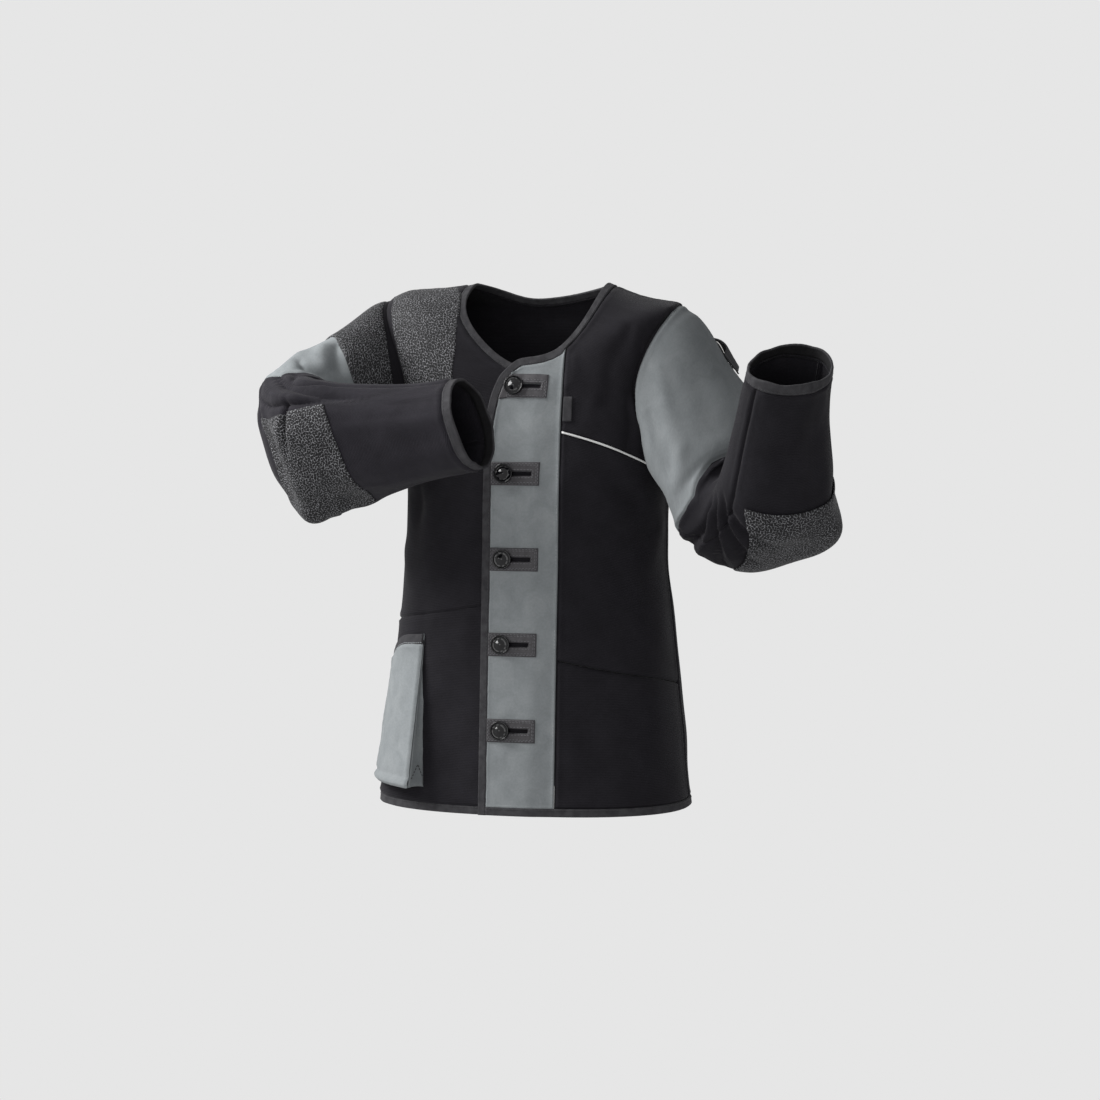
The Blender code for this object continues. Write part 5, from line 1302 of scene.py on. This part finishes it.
def padPiece(name, reader, size):
    # stands off by gap + thick - sink * (1 - ease(distance / round))
    rows, cols = padStations(size[0]), padStations(size[1])
    points, normals = reader(*between(padEdges[name], rows, cols))
    fall = padLook["sink"] * (1 - ease(edgeDistance(points) / padLook["round"]))
    rise = padLook["gap"] + padLook["thick"] - fall
    clothSheet(name, points + normals * rise[..., None], paints["grip"], thick=padLook["thick"])


pads = (
    ("sleeve_right_pad", lambda row, col: onSleeve(-1, row, col), (0.075, 0.24)),
    ("elbow_pad_right", lambda row, col: onSleeve(-1, row, col), (0.14, 0.22)),
    ("elbow_pad_left", lambda row, col: onSleeve(1, row, col), (0.09, 0.21)),
    ("shoulder_pad", lambda level, degrees: onBody(np.radians(degrees), level), (0.10, 0.24)),
)
for pad in pads:
    padPiece(*pad)


buttonShape = {
    "radius": 0.0130, "thick": 0.0048, "shank": 0.0014, "sides": 96, "foot": 0.0008,
    "base": 0.0092, "lowLip": 0.0014, "highLip": 0.0010, "facets": 9, "facetFrom": 0.0098,
    "facetDeep": 0.0045,
    # the face's rim, trough and middle: how far out, and how far above the button's thickness
    "face": ((0.0115, -0.0001), (0.0111, -0.0008), (0.0107, -0.0020), (0.0102, -0.0024), (0.0097, -0.0022),
             (0.0094, -0.0025), (0.0060, -0.0006), (0.0025, 0.0013), (0.0008, 0.0019), (0.0, 0.0019)),
}


def turned(name, at, way, profile):
    # a profile turned about the cloth's outward direction, with flat facets inside the rim
    s = buttonShape
    across = unit(np.cross(way, np.array([0.0, 0.0, 1.0])))
    up = np.cross(across, way)
    turn = np.linspace(0, 2 * math.pi, s["sides"], endpoint=False)
    ring = np.cos(turn)[:, None] * across + np.sin(turn)[:, None] * up
    radius, rise = np.array(profile[1:-1]).T
    top = profile[-1][1]
    flat = np.cos((turn + 0.3) % (2 * math.pi / s["facets"]) - math.pi / s["facets"])
    inside = (radius < s["facetFrom"]) & (rise > top - s["facetDeep"])
    high = np.where(inside[:, None], top - (top - rise[:, None]) * flat / flat.mean(), rise[:, None])
    points = at + ring[None] * radius[:, None, None] + way * high[..., None]
    solidPiece(name, points, gridQuads(points.shape[:2], closed=True), paints["button"])


def buttonPieces():
    # foot, underside, two rounded lips and the face, from the middle out and back
    s = buttonShape
    under = cut["placketLift"] + cut["seamGap"] + cut["leather"] + 0.0008
    top = under + s["thick"]
    lip = np.linspace(0, math.pi / 2, 5)
    profile = [(0.0, s["foot"]), (s["shank"], s["foot"]), (s["shank"], under), (s["base"], under)]
    profile += [(s["radius"] - s["lowLip"] + s["lowLip"] * math.sin(a),
                 under + s["lowLip"] - s["lowLip"] * math.cos(a))
                for a in lip]
    profile += [(s["radius"] - s["highLip"] + s["highLip"] * math.cos(a),
                 top - s["highLip"] + s["highLip"] * math.sin(a))
                for a in lip]
    profile += [(out, top + up) for out, up in s["face"]]
    for number, (height, middle, _) in enumerate(buttons, 1):
        turned(f"button_{number}", *onFrontPoint(middle, height), profile)


def onFrontPoint(x, z):
    # the front's point and outward direction at x and z
    angle, level = onFront(x, z)
    return bodyPoint(angle, level), bodyNormal(angle, level)


buttonPieces()


pocket = {
    "front": (-45.5, -50.5), "back": -101.0, "low": 0.047,
    "top": ((0.0, 0.340), (0.3, 0.330), (0.6, 0.288), (1.0, 0.262)),
    "flat": 0.0044, "swell": 0.034, "band": 0.012, "height": 0.185, "foot": 0.0009,
    "hem": ((0.030, 0.017, 0.0019),
            (0.072, 0.016, -0.0014)),  # its turned edge: rise, spread and how far it stands out
}


def onPocket(share, rise, lift=0.0, whole=True):
    # share runs back from the front edge, rise runs up from the bottom; not whole, it stays on the body
    front = mix(*pocket["front"], rise)
    angle = np.radians(mix(front, pocket["back"], share))
    high = curveThrough(share, *np.array(pocket["top"]).T)
    level = mix(pocket["low"], high, rise)
    depth = pocket["flat"] + pocket["swell"] * (1 - share) ** 2.5 * (1 - rise) ** 1.3
    normal = bodyNormal(angle, level)
    return bodyPoint(angle, level) + normal * (depth * whole + lift)[..., None], normal


def pocketPieces():
    # the front, the band along its top, and the gusset between its edge and the body
    bandStart = 1 - pocket["band"] / pocket["height"]
    edge = (0.004, 0.010, 0.018, 0.028)
    s = closer(np.linspace(0, 1, 49), edge, 1)
    r = closer(np.linspace(0, bandStart - 0.001, 49), edge, bandStart)
    rise, share = np.meshgrid(r, s, indexing="ij")
    points, normals = onPocket(share, rise)
    wave = 0.0013 * softNoise(points, 0.055, 51) + 0.0006 * softNoise(points, 0.022, 52)
    inner = ease(share / 0.12) * ease((1 - share) / 0.12) * ease(rise / 0.12)
    hem = sum(far * hill(rise - middle, spread) for middle, spread, far in pocket["hem"])
    points = points + normals * hem[..., None]
    points = sewnEdges(points + normals * (wave * inner)[..., None], normals, drop=0.9, roll=0.8)
    clothSheet("pocket_front", points, paints["suede"])

    s = np.linspace(0, 1, 25)
    line = [onPocket(s, np.full_like(s, up)) for up in (bandStart, 1.0)]
    tapePiece("pocket_band", *line[0], *line[1])

    down = np.linspace(1, 0, 40)
    across = np.linspace(0, 1, 40)[1:]
    share = np.concatenate([0 * down, across, 1 + 0 * down[1:]])
    rise = np.concatenate([down, 0 * across, down[::-1][1:]])
    foot, _ = onPocket(share, rise, pocket["foot"], whole=False)
    head, _ = onPocket(share, rise, -cut["tapeThick"] - cut["seamGap"])
    inner, _ = onPocket(mix(0.010, 0.990, share), mix(0.010, 1, rise), whole=False)
    inward = unit(inner - onPocket(share, rise, whole=False)[0])
    steps = np.linspace(0, 1, 9)
    points = mix(foot[:, None], head[:, None], steps[None, :, None])
    tuck = 0.0016 * np.sin(steps * math.pi)[None, :] + 0.0008 * softNoise(points, 0.03, 53)
    points = points + inward[:, None] * tuck[..., None]
    # paler suede copy: painted light against the shade the gusset sits in
    clothSheet("pocket_gusset", points, paints["gussetSuedePaintedLight"], thick=cut["cloth"])


pocketPieces()


def bar(name, centres, radius, paint, sides=10, loop=False):
    # a round bar along a line
    if loop:
        ahead = unit(np.roll(centres, -1, axis=0) - np.roll(centres, 1, axis=0))
    else:
        ahead = unit(np.gradient(centres, axis=0))
    across = unit(np.cross(ahead, np.array([0.03, 0.21, 0.97])))
    up = np.cross(across, ahead)
    turn = np.linspace(0, 2 * math.pi, sides, endpoint=False)[:, None, None]
    points = centres[None] + radius * (np.cos(turn) * across[None] + np.sin(turn) * up[None])
    points = points.swapaxes(0, 1)
    solidPiece(name, points, gridQuads(points.shape[:2], closed=True, loop=loop), paint)


trim = {"pipingLift": 0.0011, "pipingRadius": 0.0014, "tabAt": (0.0635, -0.170), "tabSize": (0.012, 0.033),
        "tabLift": 0.0019, "tabWave": 0.0005, "tabThick": 0.0010}


def pipingPiece():
    # along the chest seam
    at = layouts["left"][0][cut["chestRow"] * fine][1:-2:2]
    points, normals = onBody(at[:, 0], at[:, 1])
    bar("piping", points + normals * trim["pipingLift"], trim["pipingRadius"], paints["piping"])


def tabPiece():
    # a small woven tab on the left front
    x, z = np.meshgrid(*(middle + size * np.linspace(-0.5, 0.5, count)
                         for middle, size, count in zip(trim["tabAt"], trim["tabSize"], (9, 17))))
    wave = trim["tabWave"] * softNoise(np.stack([x, z, z], -1), 0.03, 61)
    points, _ = onBody(*onFront(x, z), trim["tabLift"] + wave)
    clothSheet("label_tab", points, paints["tape"], thick=trim["tabThick"])


strapShape = {"edges": (((0.80, -2.6), (1.00, -2.2), (1.20, -1.8), (1.40, -1.4), (1.60, -1.0)),
                        ((1.20, -3.2), (1.40, -2.8), (1.60, -2.4), (1.80, -2.0), (2.00, -1.6))),
              "size": (0.031, 0.069), "foot": 0.0012, "rise": 0.0072, "ring": (0.019, 0.038), "bar": 0.0011,
              "shift": 0.10}


def strapPieces():
    # a strap bridged over the sleeve between its sewn ends, and a ring
    s = strapShape
    rows, cols = np.linspace(0, 1, 13), np.linspace(0, 1, 41)
    points, normals = onSleeve(1, *between(s["edges"], rows, cols))
    bridge = np.clip(2.4 * np.sin(np.linspace(0, math.pi, 41)) - 0.5, 0, 1)
    rise = s["foot"] + s["rise"] * bridge + cut["cloth"]
    clothSheet("strap_left", points + normals * rise[None, :, None], paints["webbing"])
    wide, tall = s["ring"]
    turn = np.linspace(0, 2 * math.pi, 64, endpoint=False)
    # a ring with square shoulders: the root of the cosine and of the sine
    across = np.sign(np.cos(turn)) * np.abs(np.cos(turn)) ** 0.5 * tall / 2 / s["size"][0]
    along = np.sign(np.sin(turn)) * np.abs(np.sin(turn)) ** 0.5 * wide / 2 / s["size"][1]
    first, last = np.array(s["edges"])
    place = first[0] + np.outer(0.5 + across, last[0] - first[0])
    place = place + np.outer(0.5 + s["shift"] + along, first[-1] - first[0])
    at, way = onSleeve(1, place[:, 0], place[:, 1])
    bar("ring_left", at + way * (s["foot"] + s["bar"]), s["bar"], paints["metal"], loop=True)


pipingPiece()
tabPiece()
strapPieces()
print("stage: pads, buttons, pocket and trim made")


stitch = {
    "length": 0.0031, "gap": 0.0014, "thick": 0.00048, "lift": 0.0001, "padInset": 0.0030,
    "patchInsets": (0.0020, 0.0040), "slotInset": (0.0024, 0.0052), "placketInset": 0.0026,
    "gusset": (((0.155, 0.50), (0.055, 0.92)),
               ((0.155, 0.50), (0.070, 0.10))),  # rise and step of each row's two ends
    "gussetHead": -0.0037, "gussetLift": 0.0006,
}


def stitchRows(name, rows, paint):
    # each row is a line, its outward directions and whether it closes; a four-sided spindle at every step
    length, made = stitch["length"], []
    turn = (np.arange(4) + 0.5) * math.pi / 2
    share, thick = np.array([-0.5, -0.36, 0.36, 0.5]), np.array([0.45, 1, 1, 0.45]) * stitch["thick"]
    for points, normals, closed in rows:
        if closed:
            points, normals = np.concatenate([points, points[:1]]), np.concatenate([normals, normals[:1]])
        at = np.concatenate([[0], np.cumsum(np.linalg.norm(np.diff(points, axis=0), axis=-1))])
        count = int(at[-1] / (length + stitch["gap"]))
        middle = (np.arange(count) + 0.5) * at[-1] / count
        head, tail, way = (np.stack([np.interp(middle + off, at, line[:, k]) for k in range(3)], -1)
                           for off, line in ((-length / 2, points), (length / 2, points), (0, normals)))
        ahead = unit(tail - head)
        across = unit(np.cross(ahead, unit(way)))
        up = np.cross(across, ahead)
        centre = (head + tail) / 2 + unit(way) * stitch["lift"]
        ring = np.cos(turn)[:, None] * across[:, None] + np.sin(turn)[:, None] * up[:, None]
        made.append(centre[:, None, None] + ahead[:, None, None] * (share * length)[:, None, None]
                    + ring[:, None] * thick[:, None, None])
    points = np.concatenate(made)
    quads = np.concatenate([gridQuads((4, 4), closed=True), [[0, 1, 2, 3], [12, 13, 14, 15]]])
    quads = (quads[None] + 16 * np.arange(len(points))[:, None, None]).reshape(-1, 4)
    solidPiece(name, points, quads, paints[paint])


def boxLine(left, right, low, high):
    # x and z round a rectangle
    share = np.linspace(0, 1, 30)[:-1]
    x = np.concatenate([mix(left, right, share), right + 0 * share, mix(right, left, share),
                        left + 0 * share])
    z = np.concatenate([low + 0 * share, mix(low, high, share), high + 0 * share, mix(high, low, share)])
    return x, z


def stitchPieces():
    # round patches and slots, along the strip, tapes, pads and band, and down the gusset
    rows, top = [], cut["seamGap"] + cut["leather"]
    beside, above = stitch["slotInset"]
    for k, (height, middle, end) in enumerate(buttons[::-1]):
        cells = strip[6 * k + 2:6 * k + 6]
        left, low, high = cells[:, 0, 0].max(), cells[0, 0, 1], cells[-1, 0, 1]
        slot = middle - closing["slotBehind"]
        lines = [boxLine(left + inset, end - inset, low + inset,
                         high - inset) for inset in stitch["patchInsets"]]
        lines.append(boxLine(slot - beside, slot + closing["slotLength"] + beside, height - above,
                             height + above))
        rows += [(*onStrip(*line, top), True) for line in lines]
    stitchRows("stitches_patches", rows, "threadMid")
    edge = readGrid(strip, np.linspace(0.02, len(strip) - 1.02, 300), np.array([strip.shape[1] - 1.0]))
    edge = edge[:, 0]
    stitchRows("stitches_placket", [(*onStrip(edge[:, 0] - stitch["placketInset"], edge[:, 1]), False)],
               "threadGrey")
    stitchRows("stitches_tapes", [line for name, line in tapeLines.items() if name != "pocket_band"],
               "threadDark")
    rows = []
    for name, reader, size in pads:
        inset = stitch["padInset"] / np.array(size)
        along = [np.linspace(inset[k], 1 - inset[k], 120) for k in (0, 1)]
        for first, second in ((inset[:1], along[1]), (1 - inset[:1], along[1]),
                              (along[0], inset[1:]), (along[0], 1 - inset[1:])):
            found = reader(*between(padEdges[name], first, second))
            points, normals = (line.reshape(-1, 3) for line in found)
            rows.append((points + normals * (padLook["gap"] + padLook["thick"]), normals, False))
    stitchRows("stitches_pads", rows, "threadDark")
    stitchRows("stitches_pocket", [tapeLines["pocket_band"]], "threadGrey")
    rows = []
    for first, last in np.array(stitch["gusset"]):
        place = [gussetSpot(*mix(first, last, share)) for share in np.linspace(0, 1, 12)]
        rows.append((*np.array(place).swapaxes(0, 1), False))
    stitchRows("stitches_gusset", rows, "threadDark")


def gussetSpot(rise, step):
    # a place on the gusset's front side, from the body (step 0) out to the pocket's edge (step 1)
    zero, rise = np.zeros(1), np.full(1, rise)
    foot = onPocket(zero, rise, pocket["foot"], whole=False)[0][0]
    head = onPocket(zero, rise, stitch["gussetHead"])[0][0]
    ahead = unit(onPocket(zero + 0.02, rise, whole=False)[0][0] - foot)
    return mix(foot, head, step) - ahead * stitch["gussetLift"], -ahead


stitchPieces()
print("stage: stitches made")


# every piece rides on the body and stands for its solid
# width, length and area of each cut, in metres; how it is held; what it lies on; what is sewn round it
flatCuts = {
    "back": (0.566, 0.775, 0.3293, "hung", None, ("binding_neck", "binding_hem")),
    "front_right_upper": (0.348, 0.540, 0.1089, "hung", "back", ()),
    "front_right_lower": (0.332, 0.286, 0.0824, "hung", "front_right_upper", ()),
    "front_left_chest": (0.239, 0.300, 0.0301, "hung", "back", ()),
    "front_left_middle": (0.219, 0.306, 0.0590, "hung", "front_left_chest", ()),
    "front_left_lower": (0.235, 0.200, 0.0406, "hung", "front_left_middle", ()),
    "placket": (0.100, 0.619, 0.0548, "hung", "front_left_middle", ()),
    "patch_1": (0.068, 0.034, 0.0018, "laid", "placket", ()),
    **{f"patch_{k}": (0.068, 0.032, 0.0019, "laid", "placket", ()) for k in (2, 3, 4, 5)},
    "sleeve_right_cap": (0.623, 0.147, 0.0390, "hung", "back", ()),
    "sleeve_right_upper": (0.551, 0.190, 0.0656, "hung", "sleeve_right_cap", ()),
    "sleeve_right_fore_under": (0.353, 0.398, 0.0967, "hung", "sleeve_right_upper", ("cuff_right",)),
    "sleeve_right_fore_top": (0.213, 0.286, 0.0428, "hung", "sleeve_right_upper", ()),
    "sleeve_left_upper": (0.641, 0.309, 0.1140, "hung", "back", ()),
    "sleeve_left_fore_under": (0.287, 0.389, 0.0836, "hung", "sleeve_left_upper", ("cuff_left",)),
    "sleeve_left_fore_top": (0.277, 0.352, 0.0512, "hung", "sleeve_left_upper", ()),
    "shoulder_pad": (0.292, 0.113, 0.0255, "laid", "front_right_upper", ()),
    "sleeve_right_pad": (0.277, 0.172, 0.0219, "laid", "sleeve_right_cap", ()),
    "elbow_pad_right": (0.217, 0.169, 0.0299, "laid", "sleeve_right_fore_under", ()),
    "elbow_pad_left": (0.254, 0.154, 0.0300, "laid", "sleeve_left_fore_under", ()),
    "pocket_front": (0.230, 0.199, 0.0353, "hung", "front_right_lower", ("pocket_band",)),
    "pocket_gusset": (0.034, 0.560, 0.0058, "hung", "front_right_lower", ()),
    "label_tab": (0.012, 0.034, 0.0004, "laid", "front_left_chest", ()),
    "strap_left": (0.085, 0.032, 0.0025, "stretched", "sleeve_left_upper", ()),
}
for name, (width, length, area, held, under, trim) in flatCuts.items():
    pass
for name, piece in pieces.items():
    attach(piece, "root")
    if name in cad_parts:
        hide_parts(name)


view = {"azimuth": 14.0, "elevation": 4.0, "far": 4.0, "target": (0.010, 0.0, -0.367), "lens": 94.86,
        "sensor": 36}
studio = {
    "seen": (0.791, 0.791, 0.791), "lit": (0.97, 0.98, 1.0), "level": 0.28,
    "floor": (0.62, 0.62, 0.62), "floorHalf": 9.0, "floorHeight": -1.45,
    "lamps": {  # place, target, power and size
        "key": ((-2.70, -0.85, 1.80), (0, 0, -0.35), 178, 2.2),
        "fill": ((-0.1, -3.5, 0.2), (0, 0, -0.4), 32, 2.4),
    },
}


def addAimed(name, data, place, target):
    # a camera or lamp at this place, looking at the target
    thing = bpy.data.objects.new(name, data)
    thing.location = place
    thing.rotation_euler = (Vector(target) - Vector(place)).to_track_quat("-Z", "Y").to_euler()
    bpy.context.scene.collection.objects.link(thing)
    return thing


def addCamera():
    # stands off from the target by an azimuth and an elevation in degrees
    a, e = math.radians(view["azimuth"]), math.radians(view["elevation"])
    way = np.array([math.sin(a) * math.cos(e), -math.cos(a) * math.cos(e), math.sin(e)])
    data = bpy.data.cameras.new("camera")
    data.lens, data.sensor_width = view["lens"], view["sensor"]
    place = np.array(view["target"]) + way * view["far"]
    bpy.context.scene.camera = addAimed("camera", data, place, view["target"])


def addLamps():
    # round area lamps
    for name, (place, target, power, size) in studio["lamps"].items():
        data = bpy.data.lights.new(name, "AREA")
        data.energy, data.shape, data.size = power, "DISK", size
        addAimed(name, data, place, target)


def forCamera(tree, first, second, out):
    # the second shader for rays from the camera, mirrored ones and those through glass; else the first
    ray = tree.nodes.new("ShaderNodeLightPath").outputs
    seen = ray["Is Camera Ray"]
    for name in ("Is Glossy Ray", "Is Transmission Ray"):
        seen = reckon(tree, "ADD", seen, ray[name], use_clamp=True)
    both = node(tree, "ShaderNodeMixShader", Fac=seen)
    for k, shader in ((1, first), (2, second)):
        tree.links.new(shader, both.inputs[k])
    tree.links.new(both.outputs["Shader"], out.inputs["Surface"])


def plainGround():
    # the world is one grey to the camera and a softer one to everything else; the floor shows that grey too
    world = bpy.data.worlds.new("studio")
    bpy.context.scene.world = world
    world.use_nodes = True
    tree = world.node_tree
    tree.nodes.clear()
    lit, seen = (node(tree, "ShaderNodeBackground", Color=(*studio[key], 1),
                      Strength=strength).outputs["Background"]
                 for key, strength in (("lit", studio["level"]), ("seen", 1.0)))
    forCamera(tree, lit, seen, tree.nodes.new("ShaderNodeOutputWorld"))
    made, tree, shader = paint("floorLook", studio["floor"], 0.9)
    glow = node(tree, "ShaderNodeEmission", Color=(*studio["seen"], 1)).outputs["Emission"]
    forCamera(tree, shader.outputs["BSDF"], glow, tree.nodes["Material Output"])
    half, height = studio["floorHalf"], studio["floorHeight"]
    corners = np.array([[x, y, height] for x,
                        y in ((-half, -half), (half, -half), (half, half), (-half, half))])
    makeMesh("floor", corners, np.array([[0, 1, 2, 3]]), made)


addCamera()
plainGround()
addLamps()
bpy.context.scene.view_settings.view_transform = "Standard"

print("stage: camera and light set")
